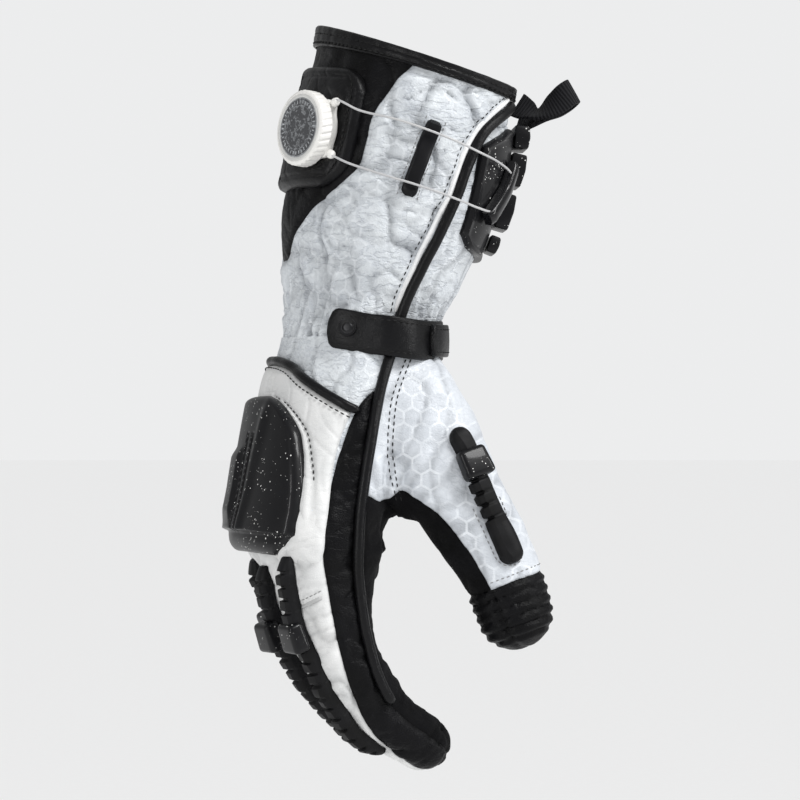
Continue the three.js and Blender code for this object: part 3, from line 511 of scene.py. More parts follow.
def hand_skin():
    """The hand's skin with its distances to seams, cut along them."""
    points, triangles = remeshed_hand(VOXEL)
    pairs = np.unique(np.sort(triangle_sides(triangles), axis=1), axis=0)
    web = bump(np.linalg.norm(points - WEB["softened"], axis=1), 0, 17)
    softer = neighbour_mean(points, pairs, 46)
    points = neighbour_mean(points, pairs, 5)
    points = points + (softer - points) * web[:, None]
    normals = vertex_normals(points, triangles)
    which, at, deg = nearest_places(HAND_TUBES, points)
    mm_per_deg = np.zeros(len(points))
    for t, tube in enumerate(HAND_TUBES):
        mine = which == t
        mm_per_deg[mine] = degree_size(tube, points[mine], at[mine])
    body, index, thumb = which == 0, which == 1, which == 5

    def beyond(edge):
        return (deg - edge) * mm_per_deg

    thumb_edge = np.where(body, value(PIPING_ON_BODY, "deg", at),
                          np.where(index, value(PIPING_ON_INDEX, "deg", at), FINGER_PALM_EDGE))
    far_edge = np.where(body, LITTLE_EDGE_ON_BODY, LITTLE_EDGE_ON_FINGERS)
    palm = np.maximum(beyond(thumb_edge), -beyond(far_edge))
    side = np.where(body, beyond(value(SIDE_ON_BODY, "deg", at)),
                    np.where(index, beyond(value(SIDE_ON_INDEX, "deg", at)), -12))
    on_body_thumb = np.minimum(np.minimum(beyond(thumb_edge), at - THUMB_FROM), -beyond(THUMB_PALM_EDGE))
    thumb_part = np.where(thumb, 9, np.where(body, np.clip(on_body_thumb, -9, 9), -9))
    thumb_palm = np.where(thumb, np.maximum(beyond(value(THUMB_WHITE, "palm", at)),
                                            -beyond(value(THUMB_WHITE, "web", at))),
                          np.where(body, beyond(np.interp(at, [-50, -20], [128, 148])), -6))
    tip = np.where(thumb, (at - THUMB_TIP_AT) * MM_PER_JOINT, -20)
    palm[thumb] = 9
    side[thumb] = -9
    near_web = np.linalg.norm((points - WEB["middle"]) / WEB["reach"], axis=1) < 1.5
    below_web = np.where(near_web, WEB["suede_below"] - points[:, 2], -9)
    palm, thumb_palm = np.maximum(palm, below_web), np.maximum(thumb_palm, below_web)
    fields = dict(palm=palm, side=side, thumb_part=thumb_part, thumb_palm=thumb_palm, tip=tip,
                  wrist=points[:, 2] - WRIST_SEAM, fingers=FINGERS_BELOW - points[:, 2])
    for name in ("palm", "side", "thumb_part", "thumb_palm", "tip"):
        fields[name] = neighbour_mean(np.clip(fields[name], -14, 14), pairs, 12)
    facing_photo = np.column_stack([points @ PHOTO_RIGHT, points[:, 2], 0 * at])
    around = deg * math.pi / 180 * np.where(body, BODY_RADIUS, FINGER_RADIUS)
    flat = np.column_stack([around, np.where(body, at, -at * MM_PER_JOINT), 0 * at])
    flat = np.where((thumb | (thumb_part > 0))[:, None], facing_photo, flat)
    skin = Skin(points, triangles, normals, flat=flat, which=which, at=at, **fields)
    for name in ("wrist", "tip", "thumb_part", "thumb_palm", "palm", "side", "fingers"):
        skin.cut(name)
    skin.triangles = skin.triangles[skin.centre("wrist") < 0]
    return skin


def cuff_skin():
    """The cuff's skin with its distances to seams, cut along them."""
    rows, columns = ((100, 288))
    ats = np.linspace(CUFF_TOP, WRIST_SEAM - 9, rows)
    degs = np.linspace(-180, 180, columns, endpoint=False)
    at, deg = [grid.ravel() for grid in np.meshgrid(ats, degs, indexing="ij")]
    points = skin_point(BODY, at, deg)
    quads = grid_faces(rows, columns, closed=True)
    triangles = np.concatenate([quads[:, [0, 1, 2]], quads[:, [0, 2, 3]]])
    normals = vertex_normals(points, triangles)
    if (normals * (points - middle_of(BODY, at))).sum() < 0:
        triangles, normals = triangles[:, ::-1], -normals
    mm_per_deg = degree_size(BODY, points, at)
    to_thumb = (value(CUFF_BLACK, "thumb_side", at) - deg) * mm_per_deg
    to_little = (deg - value(CUFF_BLACK, "little_side", at)) * mm_per_deg
    back = np.minimum(np.minimum(to_thumb, to_little), at - CUFF_BLACK_FROM)
    palm_edge = value(PIPING_ON_BODY, "deg", at) + 34 * smooth_step(90, 104, at)
    palm = np.maximum((deg - palm_edge) * mm_per_deg, (LITTLE_EDGE_ON_CUFF - deg) * mm_per_deg)
    flat = np.column_stack([deg * math.pi / 180 * CUFF_RADIUS, at, 0 * at])
    skin = Skin(points, triangles, normals, flat=flat, at=at, deg=deg, back=back, palm=palm,
                wrist=WRIST_SEAM - points[:, 2])
    for name in ("wrist", "back", "palm"):
        skin.cut(name)
    skin.triangles = skin.triangles[skin.centre("wrist") < 0]
    return skin


# Materials
class Socket:
    """A shader value that can be reckoned with."""

    def __init__(self, shader, socket):
        self.shader, self.socket = shader, socket

    def _math(self, operation, *values):
        return self.shader.node("ShaderNodeMath", {"operation": operation}, dict(enumerate(values)))

    def __add__(self, other):
        return self._math("ADD", self, other)

    def __sub__(self, other):
        return self._math("SUBTRACT", self, other)

    def __rsub__(self, other):
        return self._math("SUBTRACT", other, self)

    def __mul__(self, other):
        return self._math("MULTIPLY", self, other)

    def __pow__(self, other):
        return self._math("POWER", self, other)

    __radd__, __rmul__ = __add__, __mul__

    def maths(self, operation, *others):
        return self._math(operation, self, *others)

    def ramp(self, low, high):
        """0 at low and 1 at high, smooth between them."""
        settings = {"interpolation_type": "SMOOTHSTEP"}
        return self.shader.node("ShaderNodeMapRange", settings, {0: self, 1: low, 2: high, 3: 0, 4: 1})

    def mix(self, a, b):
        """Colour a where this is 0 and colour b where it is 1."""
        settings = {"data_type": "RGBA"}
        return self.shader.node("ShaderNodeMix", settings, {0: self, 6: a, 7: b}, out=2)

    def scaled(self, factor):
        settings = {"operation": "MULTIPLY"}
        factor = factor if isinstance(factor, tuple) else (factor,) * 3
        return self.shader.node("ShaderNodeVectorMath", settings, {0: self, 1: factor})

    def parts(self):
        return [self.shader.node("ShaderNodeSeparateXYZ", {}, {0: self}, out=i) for i in range(3)]


class Shader:
    def __init__(self, name, **uniform):
        self.material = bpy.data.materials.new(name)
        self.material.use_nodes = True
        self.tree = self.material.node_tree
        self.surface = self.tree.nodes["Principled BSDF"]
        for key, v in uniform.items():
            self.surface.inputs[key.replace("_", " ")].default_value = v

    def node(self, kind, settings, inputs, out=0):
        made = self.tree.nodes.new(kind)
        for key, v in settings.items():
            setattr(made, key, v)
        for key, v in inputs.items():
            self.fill(made.inputs[key], v)
        return Socket(self, made.outputs[out])

    def fill(self, target, v):
        if isinstance(v, Socket):
            self.tree.links.new(v.socket, target)
        elif isinstance(v, tuple) and target.type == "RGBA" and len(v) == 3:
            target.default_value = (*v, 1)
        else:
            target.default_value = v

    def millimetres(self):
        return self.node("ShaderNodeTexCoord", {}, {}, out=3).scaled(1000)

    def attribute(self, name, out=1):
        return self.node("ShaderNodeAttribute", {"attribute_name": name}, {}, out=out)

    def noise(self, at, size, detail=3, rough=0.55):
        return self.node("ShaderNodeTexNoise", {}, {"Vector": at, "Scale": 1 / size, "Detail": detail,
                                                    "Roughness": rough})

    def cells(self, at, size, out=0, **settings):
        return self.node("ShaderNodeTexVoronoi", settings, {"Vector": at, "Scale": 1 / size}, out)

    def finish(self, color, rough, height, depth, metallic=None, coat=None):
        """Fills the surface; height is 0 to 1 and depth its size in millimetres."""
        relief = self.node("ShaderNodeBump", {}, {"Strength": 1.0, "Distance": depth * MM, "Height": height})
        filled = {"Base Color": color, "Roughness": rough, "Metallic": metallic, "Coat Weight": coat,
                  "Normal": relief}
        for name, v in filled.items():
            if v is not None:
                self.fill(self.surface.inputs[name], v)
        return self.material


HEX_PITCH = 7.4
HEX_COLOR, SPECKLE_COLOR = (0.84, 0.87, 0.90), (0.72, 0.72, 0.70)


def hex_edge(flat):
    """How far a place is from the nearest side of its hexagon, in pitches, from 0 to 0.5."""
    x, y, _ = flat.scaled(1 / HEX_PITCH).parts()

    def cell(shift_x, shift_y):
        a = (x + shift_x).maths("FLOORED_MODULO", 1.0) - 0.5
        b = (y + shift_y).maths("FLOORED_MODULO", math.sqrt(3)) - math.sqrt(3) / 2
        return a, b, a * a + b * b

    ax, ay, a2 = cell(0.0, 0.0)
    bx, by, b2 = cell(0.5, math.sqrt(3) / 2)
    first = a2.maths("LESS_THAN", b2)
    gx = (ax * first + bx * (1 - first)).maths("ABSOLUTE")
    gy = (ay * first + by * (1 - first)).maths("ABSOLUTE")
    return 0.5 - (gx * 0.5 + gy * (math.sqrt(3) / 2)).maths("MAXIMUM", gx)


def leather_material(name, light, dark, rough, grain=0.9, depth=0.1, hexes=0.0, sheen=0.0, seams=True,
                     shine=0.09, creased=0.9):
    """Grained leather with painted shade in its creases and wrinkles, darker at its seams with dirt and
    painted shade, on some of it a printed net of hexagons.
    """
    shader = Shader(name, Sheen_Weight=sheen, Sheen_Roughness=0.5,
                    Specular_IOR_Level=0.42 if light[0] > 0.1 else shine)
    at = shader.millimetres()
    broad = shader.noise(at, 22, 2).ramp(0.3, 0.75)
    fine = shader.noise(at, 0.45, 3)
    pebbles = shader.cells(at, grain, feature="DISTANCE_TO_EDGE").ramp(0.0, 0.32)
    lying = at.scaled((0.75, 0.75, 1.7))
    folds = shader.noise(lying, 3.4, 3, 0.5) * 2.2 + shader.noise(lying, 9, 3, 0.5) * 5
    wrinkle = ((shader.noise(lying, 10, 3, 0.6) * 2 - 1).maths("ABSOLUTE")).ramp(0.0, 0.12)
    folds = folds + wrinkle * creased
    height = pebbles * 0.55 + fine * 0.25 + folds
    fold_shade = shader.attribute("fold_shade", out=2)
    # Random tone and grain, and painted shade in the wrinkle valleys of the noise.
    color = (broad * 0.5 + (1 - pebbles) * 0.22 + (1 - wrinkle) * (creased * 0.16)).mix(light, dark)
    # Painted shade in the creases and gathers, as deep as fold_shade says.
    color = (fold_shade * 0.5).maths("MINIMUM", 0.6).mix(color, tuple(c * 0.42 for c in dark))
    roughness = rough + (1 - pebbles) * 0.08 + broad * 0.06
    if hexes:
        line = 1 - hex_edge(shader.attribute("flat")).ramp(0.045, 0.085)
        patchy = shader.noise(at, 17, 2).ramp(0.42, 0.60)
        shown = line * (0.3 + patchy * 0.7)
        color = (shown * hexes).mix(color, HEX_COLOR)
        roughness = roughness - shown * 0.13
        height = height + shown * 0.5
    if seams:
        # Darker along the seams: partly dirt, partly painted shade in the seam's groove.
        seam = shader.attribute("seam", out=2)
        color = ((1 - seam.ramp(0.0, 0.9)) * 0.55).mix(color, tuple(c * 0.35 for c in dark))
    return shader.finish(color, roughness, height, depth)


def plain_material(name, light, dark, rough, grain=0.5, depth=0.03, speckles=0.0, coat=0.0, metallic=0.0):
    """Moulded plastic, rubber or metal with fine grain and a cloudy finish, or light speckles."""
    shader = Shader(name, Coat_Roughness=0.08, Specular_IOR_Level=0.45 if light[0] > 0.1 else 0.14)
    at = shader.millimetres()
    cloud = shader.noise(at, 12, 3).ramp(0.3, 0.7)
    fine = shader.noise(at, grain, 2)
    color = cloud.mix(light, dark)
    roughness = rough + cloud * 0.08 + fine * 0.05
    if speckles:
        spread = shader.noise(at, 17, 2).ramp(0.38, 0.62) * 0.75 + 0.25
        dots = 0.0
        for size, share in ((1.15, 0.30), (2.6, 0.17)):
            chance = shader.cells(at, size, out=1).parts()[0]
            radius = (chance ** 2.6) * spread * (share * speckles)
            inside = 1 - (shader.cells(at, size) - radius).ramp(-0.01, 0.02)
            dots = inside * radius.ramp(0.02, 0.03) + dots
        dots = dots.maths("MINIMUM", 1.0)
        color = dots.mix(color, SPECKLE_COLOR)
        roughness = roughness + dots * 0.2
    return shader.finish(color, roughness, fine, depth, metallic, coat)


def webbing_material():
    """Woven tape: ribs across it, each made of small slanting threads."""
    shader = Shader("black_webbing", Sheen_Weight=0.06, Specular_IOR_Level=0.1)
    u, v, _ = shader.attribute("flat").parts()
    rib = (u * (2 * math.pi / 1.25)).maths("SINE") * 0.5 + 0.5
    thread = ((v * (2 * math.pi / 0.7)) + u * 2.4).maths("SINE") * 0.5 + 0.5
    fuzz = shader.noise(shader.millimetres(), 0.3, 3)
    height = rib * 0.75 + thread * 0.2 + fuzz * 0.2
    # Lighter on the ribs and darker between them: painted shade in the grooves, mixed with random fuzz.
    color = (rib * 0.7 + fuzz * 0.3).mix((0.003, 0.003, 0.004), (0.014, 0.014, 0.016))
    return shader.finish(color, 0.9 - rib * 0.15, height, 0.35)


def dial_face_material(middle, across, up):
    """A dark disc with cloudy grey whorls and fine ticks round its edge."""
    shader = Shader("dial_face_print", Coat_Weight=0.8, Coat_Roughness=0.05)
    at = shader.millimetres()
    off = shader.node("ShaderNodeVectorMath", {"operation": "SUBTRACT"}, {0: at, 1: tuple(middle)})

    def along(axis):
        return shader.node("ShaderNodeVectorMath", {"operation": "DOT_PRODUCT"}, {0: off, 1: tuple(axis)},
                           out=1)

    x, y = along(across), along(up)
    radius = (x * x + y * y) ** 0.5
    turn = y.maths("ARCTAN2", x)
    whorl = shader.noise(at, 3.6, 4, 0.7)
    bands = (whorl * 26 + radius * 0.8).maths("SINE") * 0.5 + 0.5
    tick = (turn * 36).maths("COSINE").ramp(0.55, 0.8) * radius.ramp(9.9, 10.0)
    tick = tick * (1 - radius.ramp(11.3, 11.4))
    ring = radius.ramp(11.9, 12.0) + (radius.ramp(9.0, 9.05) - radius.ramp(9.25, 9.3)) * 0.5
    marks = (bands.ramp(0.7, 1.0) * 0.35 + tick * 0.6 + ring * 0.35).maths("MINIMUM", 1.0)
    color = marks.mix((0.028, 0.030, 0.034), (0.50, 0.52, 0.54))
    return shader.finish(color, 0.32 - bands * 0.08, marks, 0.03)


WHITE_HEX = leather_material("white_hex_leather", (0.64, 0.67, 0.71), (0.50, 0.53, 0.57),
                             0.34, 1.1, 0.085, 0.45)
CUFF_WHITE = leather_material("white_cuff_leather", (0.66, 0.69, 0.71), (0.47, 0.50, 0.54),
                              0.32, 1.1, 0.11, 0.26, creased=2.2)
WHITE_SMOOTH = leather_material("white_smooth_leather", (0.72, 0.72, 0.715), (0.58, 0.59, 0.59),
                                0.36, 0.8, 0.06)
BLACK_PAIR = (0.005, 0.005, 0.006), (0.003, 0.003, 0.003)
BLACK_LEATHER = leather_material("black_leather", *BLACK_PAIR, 0.34, 1.0, 0.09)
SUEDE = leather_material("black_suede", *BLACK_PAIR, 0.86, 0.5, 0.08, sheen=0.03)
BLACK_ROLL = leather_material("black_roll_leather", *BLACK_PAIR, 0.28, 0.8, 0.05, seams=False, shine=0.17)
WHITE_ROLL = leather_material("white_edge_leather", (0.80, 0.80, 0.80), (0.66, 0.67, 0.68),
                              0.4, 0.7, 0.05, seams=False)
SPECKLED = plain_material("speckled_rubber", (0.004, 0.004, 0.005), (0.006, 0.006, 0.007), 0.34, 0.8, 0.02,
                          speckles=1.0, coat=0.2)
RUBBER = plain_material("black_rubber", (0.007, 0.007, 0.008), (0.004, 0.004, 0.004), 0.45, 0.35, 0.05)
BLACK_PLASTIC = plain_material("black_plastic", (0.007, 0.007, 0.008), (0.004, 0.004, 0.005),
                               0.32, 0.4, 0.02)
GLOSS = plain_material("black_gloss_plastic", (0.004, 0.004, 0.005), (0.006, 0.006, 0.007),
                       0.16, 0.6, 0.01, coat=0.3)
WHITE_PLASTIC = plain_material("white_plastic", (0.80, 0.79, 0.76), (0.74, 0.73, 0.71),
                               0.36, 0.4, 0.015, coat=0.15)
PALE_PLASTIC = plain_material("pale_plastic_rim", (0.62, 0.62, 0.60), (0.54, 0.54, 0.53),
                              0.3, 0.4, 0.01, coat=0.3)
SNAP_METAL = plain_material("black_snap_metal", (0.035, 0.035, 0.037), (0.022, 0.022, 0.023),
                            0.28, 0.3, 0.02, metallic=0.85)
LACE_COAT = plain_material("lace_coating", (0.50, 0.50, 0.50), (0.42, 0.42, 0.43), 0.3, 0.25, 0.06, coat=0.2)
DARK_THREAD = plain_material("dark_thread", (0.02, 0.02, 0.02), (0.012, 0.012, 0.012), 0.7, 0.15, 0.05)
GREY_THREAD = plain_material("grey_thread", (0.28, 0.28, 0.28), (0.20, 0.20, 0.20), 0.7, 0.15, 0.05)
WEBBING = webbing_material()


# Leather: relief on the skins, then the pieces cut from them
def photo_plane(points):
    """Where points are in the photograph's plane: to the right and up, in millimetres."""
    return points @ PHOTO_RIGHT, points[..., 2]


def from_pixel(px, py):
    return (px - PHOTO_ORIGIN[0]) * MM_PER_PIXEL, (PHOTO_ORIGIN[1] - py) * MM_PER_PIXEL


def cuff_relief(skin):
    """Pillows, folds and gathers pressed into the cuff's skin."""
    at, deg, flat, back, palm = [skin.values[name] for name in ("at", "deg", "flat", "back", "palm")]
    seam = np.minimum(np.abs(back), np.abs(palm))
    skin.values["seam"] = seam
    white = smooth_step(1, 6, -back) * smooth_step(1, 6, -palm)
    pillow = 2.4 * crumple(skin.points, 27, 3.1, (1, 1, 0.8)) + 1.7 * crumple(skin.points, 12, 7.7)
    bent = flat + 3.5 * np.column_stack([crumple(flat, 11, 1.1), crumple(flat, 11, 4.9), 0 * at])
    lines = 2.0 * creases(bent, 21, 5.2, (1.0, 0.6, 1)) + 1.1 * creases(bent, 10, 9.4, (0.6, 1.2, 1))
    lines = lines + 0.5 * creases(bent, 5, 2.4, (0.7, 1.2, 1))
    gather_here = smooth_step(34, 16, at) * smooth_step(48, 30, deg)
    gather_here = gather_here + smooth_step(22, 10, at) * smooth_step(48, 60, deg)
    waver = crumple(flat, 14, 2.2, (0.4, 1.2, 1))
    gathers = np.sin(flat[:, 0] * 2 * math.pi / 6.2 + waver * 5) * (0.45 + 0.4 * crumple(flat, 20, 8.8))
    pinch = -1.1 * bump(at, 17, 6) * (0.6 + 0.4 * np.sin(flat[:, 0] * 0.55 + waver * 4))
    # How deep each crease and gather valley is, which the leather's colour turns into painted shade.
    skin.values["fold_shade"] = np.clip(-lines / 1.6, 0, 1) + 0.5 * gather_here * np.clip(-gathers, 0, 1)
    height = pillow * (0.45 + 0.55 * white) + lines * (0.35 + 0.65 * white)
    height = height + gather_here * gathers + pinch * smooth_step(95, 60, np.abs(deg))
    height = height * smooth_step(117, 108, at) - 0.9 * bump(seam, 0, 1.5)
    skin.points = skin.points + skin.normals * height[:, None]


def hand_relief(skin):
    """Folds, the thumb's drawn leather and its ribbed tip pressed into the hand's skin."""
    v = skin.values
    at, flat, which = v["at"], v["flat"], v["which"]
    on_thumb = smooth_step(-1, 1, v["thumb_part"])
    on_side = smooth_step(0, 3, v["side"]) * smooth_step(0, 2, -v["palm"]) * (1 - on_thumb)
    seam = np.abs(v["thumb_part"])
    seam = np.where(v["thumb_part"] < 0, np.minimum(seam, np.abs(v["palm"])), seam)
    seam = np.where((v["thumb_part"] < 0) & (v["palm"] < 0), np.minimum(seam, np.abs(v["side"])), seam)
    thumb_seam = np.minimum(np.abs(v["thumb_palm"]), np.abs(v["tip"]))
    seam = np.where(v["thumb_part"] > 0, np.minimum(seam, thumb_seam), seam)
    v["seam"] = seam
    right, up = photo_plane(skin.points)
    web_right, web_up = from_pixel(*THUMB_FOLDS_FROM)
    turn = np.arctan2(up - web_up, right - web_right)
    away = np.hypot(right - web_right, up - web_up)
    waver = crumple(skin.points, 16, 6.3)
    drawn = np.sin(turn * 19 + waver * 3.5) * 0.55 * smooth_step(7, 16, away) * smooth_step(52, 18, away)
    pillow = 1.4 * crumple(skin.points, 22, 1.7) + 0.8 * crumple(skin.points, 10, 4.4)
    lines = 0.8 * creases(skin.points, 15, 2.9, (1, 1, 0.6)) + 0.3 * creases(skin.points, 6, 7.2)
    slant = np.column_stack([(up * 0.8 - right * 0.6), (up * 0.6 + right * 0.8) * 0.3, 0 * up])
    diagonal = 0.75 * creases(slant, 7.5, 3.3) + 0.35 * crumple(slant, 4.5, 8.1)
    finger = np.isin(which, (1, 2, 3, 4))
    along_finger = np.column_stack([flat[:, 0] * 0.3, flat[:, 1], 0 * at])
    bends = np.where(finger, 0.55 * creases(along_finger, 6.5, 5.5), 0)
    height = pillow * (1 - 0.5 * on_side) + lines + diagonal * on_side + bends
    height = height + drawn * on_thumb * smooth_step(2, -2, v["thumb_palm"])
    # How deep each crease, finger bend and drawn valley is, which the leather's colour turns into painted
    # shade.
    v["fold_shade"] = np.clip(-(lines + bends), 0, 1) * (1 - on_side)
    v["fold_shade"] = v["fold_shade"] + on_thumb * np.clip(-drawn, 0, 1)
    tip = smooth_step(-0.5, 1.5, v["tip"])
    ribs = 1.5 * np.abs(np.sin((at - THUMB_TIP_AT) * math.pi / 0.115)) - 0.7
    height = height * (1 - 0.8 * tip) + tip * ribs * smooth_step(3.93, 3.84, at)
    height = height - 0.85 * bump(seam, 0, 1.4)
    height = height * smooth_step(WRIST_SEAM - 0.5, WRIST_SEAM - 6, skin.points[:, 2])
    skin.points = skin.points + skin.normals * height[:, None]


cuff = cuff_skin()
cuff_relief(cuff)
hand = hand_skin()
hand_relief(hand)

in_back, in_palm = cuff.centre("back") > 0, cuff.centre("palm") > 0
on_tip = hand.centre("tip") > 0
on_thumb = (hand.centre("thumb_part") > 0) & ~on_tip
thumb_under = hand.centre("thumb_palm") > 0
of_palm = (hand.centre("palm") > 0) & ~on_thumb & ~on_tip
of_side = (hand.centre("side") > 0) & ~of_palm & ~on_thumb & ~on_tip
of_back = ~(of_side | of_palm | on_thumb | on_tip)
on_fingers = hand.centre("fingers") > 0
for leather in [
        ("cuff_front_leather", cuff, ~in_back & ~in_palm, CUFF_WHITE, "white_leather", "cuff_shell"),
        ("cuff_back_leather", cuff, in_back & ~in_palm, BLACK_LEATHER, "black_leather", "cuff_back_panel"),
        ("cuff_underarm_leather", cuff, in_palm, CUFF_WHITE, "white_leather", "cuff_shell"),
        ("hand_back_leather", hand, of_back & ~on_fingers, CUFF_WHITE, "white_leather", "hand_back_shell"),
        ("finger_back_leather", hand, of_back & on_fingers, WHITE_SMOOTH, "smooth_leather",
         "hand_back_shell"),
        ("thumb_side_leather", hand, of_side, BLACK_LEATHER, "black_leather", "thumb_side_panel"),
        ("palm_suede", hand, of_palm, SUEDE, "black_suede", "palm_shell"),
        ("thumb_white_leather", hand, on_thumb & ~thumb_under, WHITE_HEX, "white_leather",
         "thumb_back_shell"),
        ("thumb_suede", hand, on_thumb & thumb_under, SUEDE, "black_suede", "thumb_palm_shell"),
        ("thumb_tip_leather", hand, on_tip, BLACK_LEATHER, "black_leather", "thumb_tip_cap")]:
    leather_piece(*leather)

SURFACE = BVHTree.FromPolygons(
    (np.concatenate([cuff.points, hand.points]) * MM).tolist(),
    np.concatenate([cuff.triangles, hand.triangles + len(cuff.points)]).tolist())


def settled(points, within=12):
    """Points moved onto the leather that lies within a distance, with its directions there."""
    found = [SURFACE.find_nearest(Vector(p) * MM, within * MM) for p in points]
    places = np.array([f[0] if f[0] else Vector(p) * MM for f, p in zip(found, points)]) / MM
    outward = np.array([f[1] if f[1] else Vector((0, 0, 1)) for f in found])
    return places, outward


def resampled(points, spacing, closed=False):
    """A route through points at even spacing, on a smooth curve."""
    points = np.asarray(points, float)
    if closed:
        points = np.concatenate([points, points[:1]])
    lengths = np.concatenate([[0], np.cumsum(np.linalg.norm(np.diff(points, axis=0), axis=1))])
    rows = {"at": lengths, "x": points[:, 0], "y": points[:, 1], "z": points[:, 2]}
    count = max(2, int(round(lengths[-1] / spacing)))
    s = np.linspace(0, lengths[-1], count + 1)
    if closed:
        s = s[:-1]
    return np.stack([value(rows, name, s) for name in "xyz"], axis=1)


def smoothed(values, times):
    """A list of vectors evened along its length, its ends kept."""
    values = np.array(values, float)
    for _ in range(times):
        values[1:-1] = 0.5 * values[1:-1] + 0.25 * (values[:-2] + values[2:])
    return values


def evened(points, outward, times, outward_times):
    """A route and its outward directions, both evened along their length."""
    return smoothed(points, times), unit(smoothed(outward, outward_times))


def route_frames(points, outward, closed=False):
    """The directions at every place of a route: ahead, across and outwards."""
    if closed:
        heading = unit(np.roll(points, -1, axis=0) - np.roll(points, 1, axis=0))
    else:
        heading = unit(np.gradient(points, axis=0))
    outward = unit(outward - heading * (outward * heading).sum(1, keepdims=True))
    return heading, np.cross(outward, heading), outward


def sweep(name, points, outward, section, material, smooth_angle=50):
    """A piece swept along a route: section(i, distance) gives its outline there, across and outwards."""
    _, across, outward = route_frames(points, outward)
    distance = np.concatenate([[0], np.cumsum(np.linalg.norm(np.diff(points, axis=0), axis=1))])
    outlines = [np.asarray(section(i, s)) for i, s in enumerate(distance)]
    rings = [points[i] + across[i] * o[:, :1] + outward[i] * o[:, 1:2] for i, o in enumerate(outlines)]
    count = len(outlines[0])
    faces = tube_faces(len(rings), count)
    piece = new_mesh_object(name, np.concatenate(rings), faces, material, smooth_angle)
    flat = [np.column_stack([np.full(count, s), o]) for s, o in zip(distance, outlines)]
    add_layer(piece, "flat", np.concatenate(flat))
    outward_facing(piece)
    return piece


def outward_facing(piece):
    """Turns a closed piece's faces outwards."""
    mesh = piece.data
    mesh.calc_loop_triangles()
    points = np.array([v.co for v in mesh.vertices])
    t = np.array([tri.vertices for tri in mesh.loop_triangles])
    if (np.cross(points[t[:, 0]], points[t[:, 1]]) * points[t[:, 2]]).sum() < 0:
        mesh.flip_normals()


def round_outline(radius, lift, sides=14):
    turn = np.linspace(0, 2 * math.pi, sides, endpoint=False)
    return np.column_stack([np.cos(turn) * radius, lift + np.sin(turn) * radius])


def band_outline(wide, low, high, corner=0.6, crown=0.0):
    """A flat band's outline with rounded upper corners, its middle raised by crown."""
    half = wide / 2
    upper = [(half, low), (half, high - corner), (half - corner * 0.3, high - corner * 0.3),
             (half - corner, high), (half * 0.5, high + crown * 0.75), (0, high + crown)]
    return np.array(upper + [(-x, y) for x, y in upper[-2::-1]])


def rounded_ends(distance, total, reach):
    """How full a piece is at a distance along it, when its ends are rounded over a reach."""
    return max(0.12, rounded(min(distance, total - distance) / reach))


def route_length(points):
    return np.linalg.norm(np.diff(points, axis=0), axis=1).sum()


STITCH_OUTLINE = [(0.0, 0.16), (0.25, 0.95), (0.5, 1.0), (0.75, 0.95), (1.0, 0.16)]


def stitch_row(name, points, material, lift=0.1, pitch=2.9, long=2.0, radius=0.3, closed=False,
               on_leather=True):
    """Stitches along a route: one stitch's shape, copied to every place."""
    points = resampled(points, pitch, closed)
    if on_leather:
        points, outward = settled(points)
    else:
        outward = settled(points, 40)[1]
    heading, across, outward = route_frames(points, outward, closed)
    sides = 6
    turn = np.linspace(0, 2 * math.pi, sides, endpoint=False)
    template = np.array([((s - 0.5) * long, math.cos(a) * radius * r, math.sin(a) * radius * r
                          - (abs(s - 0.5) ** 2) * 1.2 * radius) for s, r in STITCH_OUTLINE for a in turn])
    stitch_faces = tube_faces(len(STITCH_OUTLINE), sides)
    middles = points + outward * lift
    made = (middles[:, None] + heading[:, None] * template[:, :1] + across[:, None] * template[:, 1:2]
            + outward[:, None] * template[:, 2:3])
    starts = np.arange(len(middles)) * len(template)
    faces = [[v + start for v in face] for start in starts for face in stitch_faces]
    piece = new_mesh_object(name, made.reshape(-1, 3), faces, material, 60)
    return dress(piece, "black_leather")


# Binding over the cuff's rim
def cuff_binding():
    profile = [(111.9, 0.1), (112.0, 0.9), (112.6, 1.35), (113.3, 1.05), (114.2, 1.45), (115.5, 1.6),
               (116.5, 1.3), (117.4, 1.65), (118.8, 1.65), (119.5, 1.1), (119.7, 0.2), (119.6, -1.2),
               (119.0, -2.6), (117.6, -3.1), (113.6, -3.0), (113.4, -1.9), (116.0, -1.7), (118.6, -1.4),
               (118.7, 0.0), (114.0, -0.2)]
    count = 220
    degs = np.linspace(-180, 180, count, endpoint=False)
    ripple = 0.1 * np.sin(np.radians(degs) * 23) + 0.08 * np.sin(np.radians(degs) * 41)
    rings = [on_skin(BODY, at, degs, lift + ripple * (0 < k < 13)) for k, (at, lift) in enumerate(profile)]
    points = np.stack(rings, axis=1)
    faces = grid_faces(count, len(profile), closed=True)
    last = (count - 1) * len(profile)
    i, j = np.arange(len(profile)), (np.arange(len(profile)) + 1) % len(profile)
    faces = np.concatenate([faces, np.stack([last + i, last + j, j, i], 1)])
    piece = new_mesh_object("cuff_rim_binding", points.reshape(-1, 3), faces, BLACK_ROLL, 40)
    outward_facing(piece)
    dress(piece, "black_leather", "cuff_binding")
    for at in (113.3, 116.5):
        stitch_row(f"cuff_rim_stitches_{int(at)}", on_skin(BODY, at, degs, 1.3), DARK_THREAD, 0.1, 3.0,
                   closed=True, on_leather=False)


# Piping down the side, with a stitched white edge beside it on the cuff
EDGE_ASIDE, EDGE_STITCHES_ASIDE = -3.2, -2.3


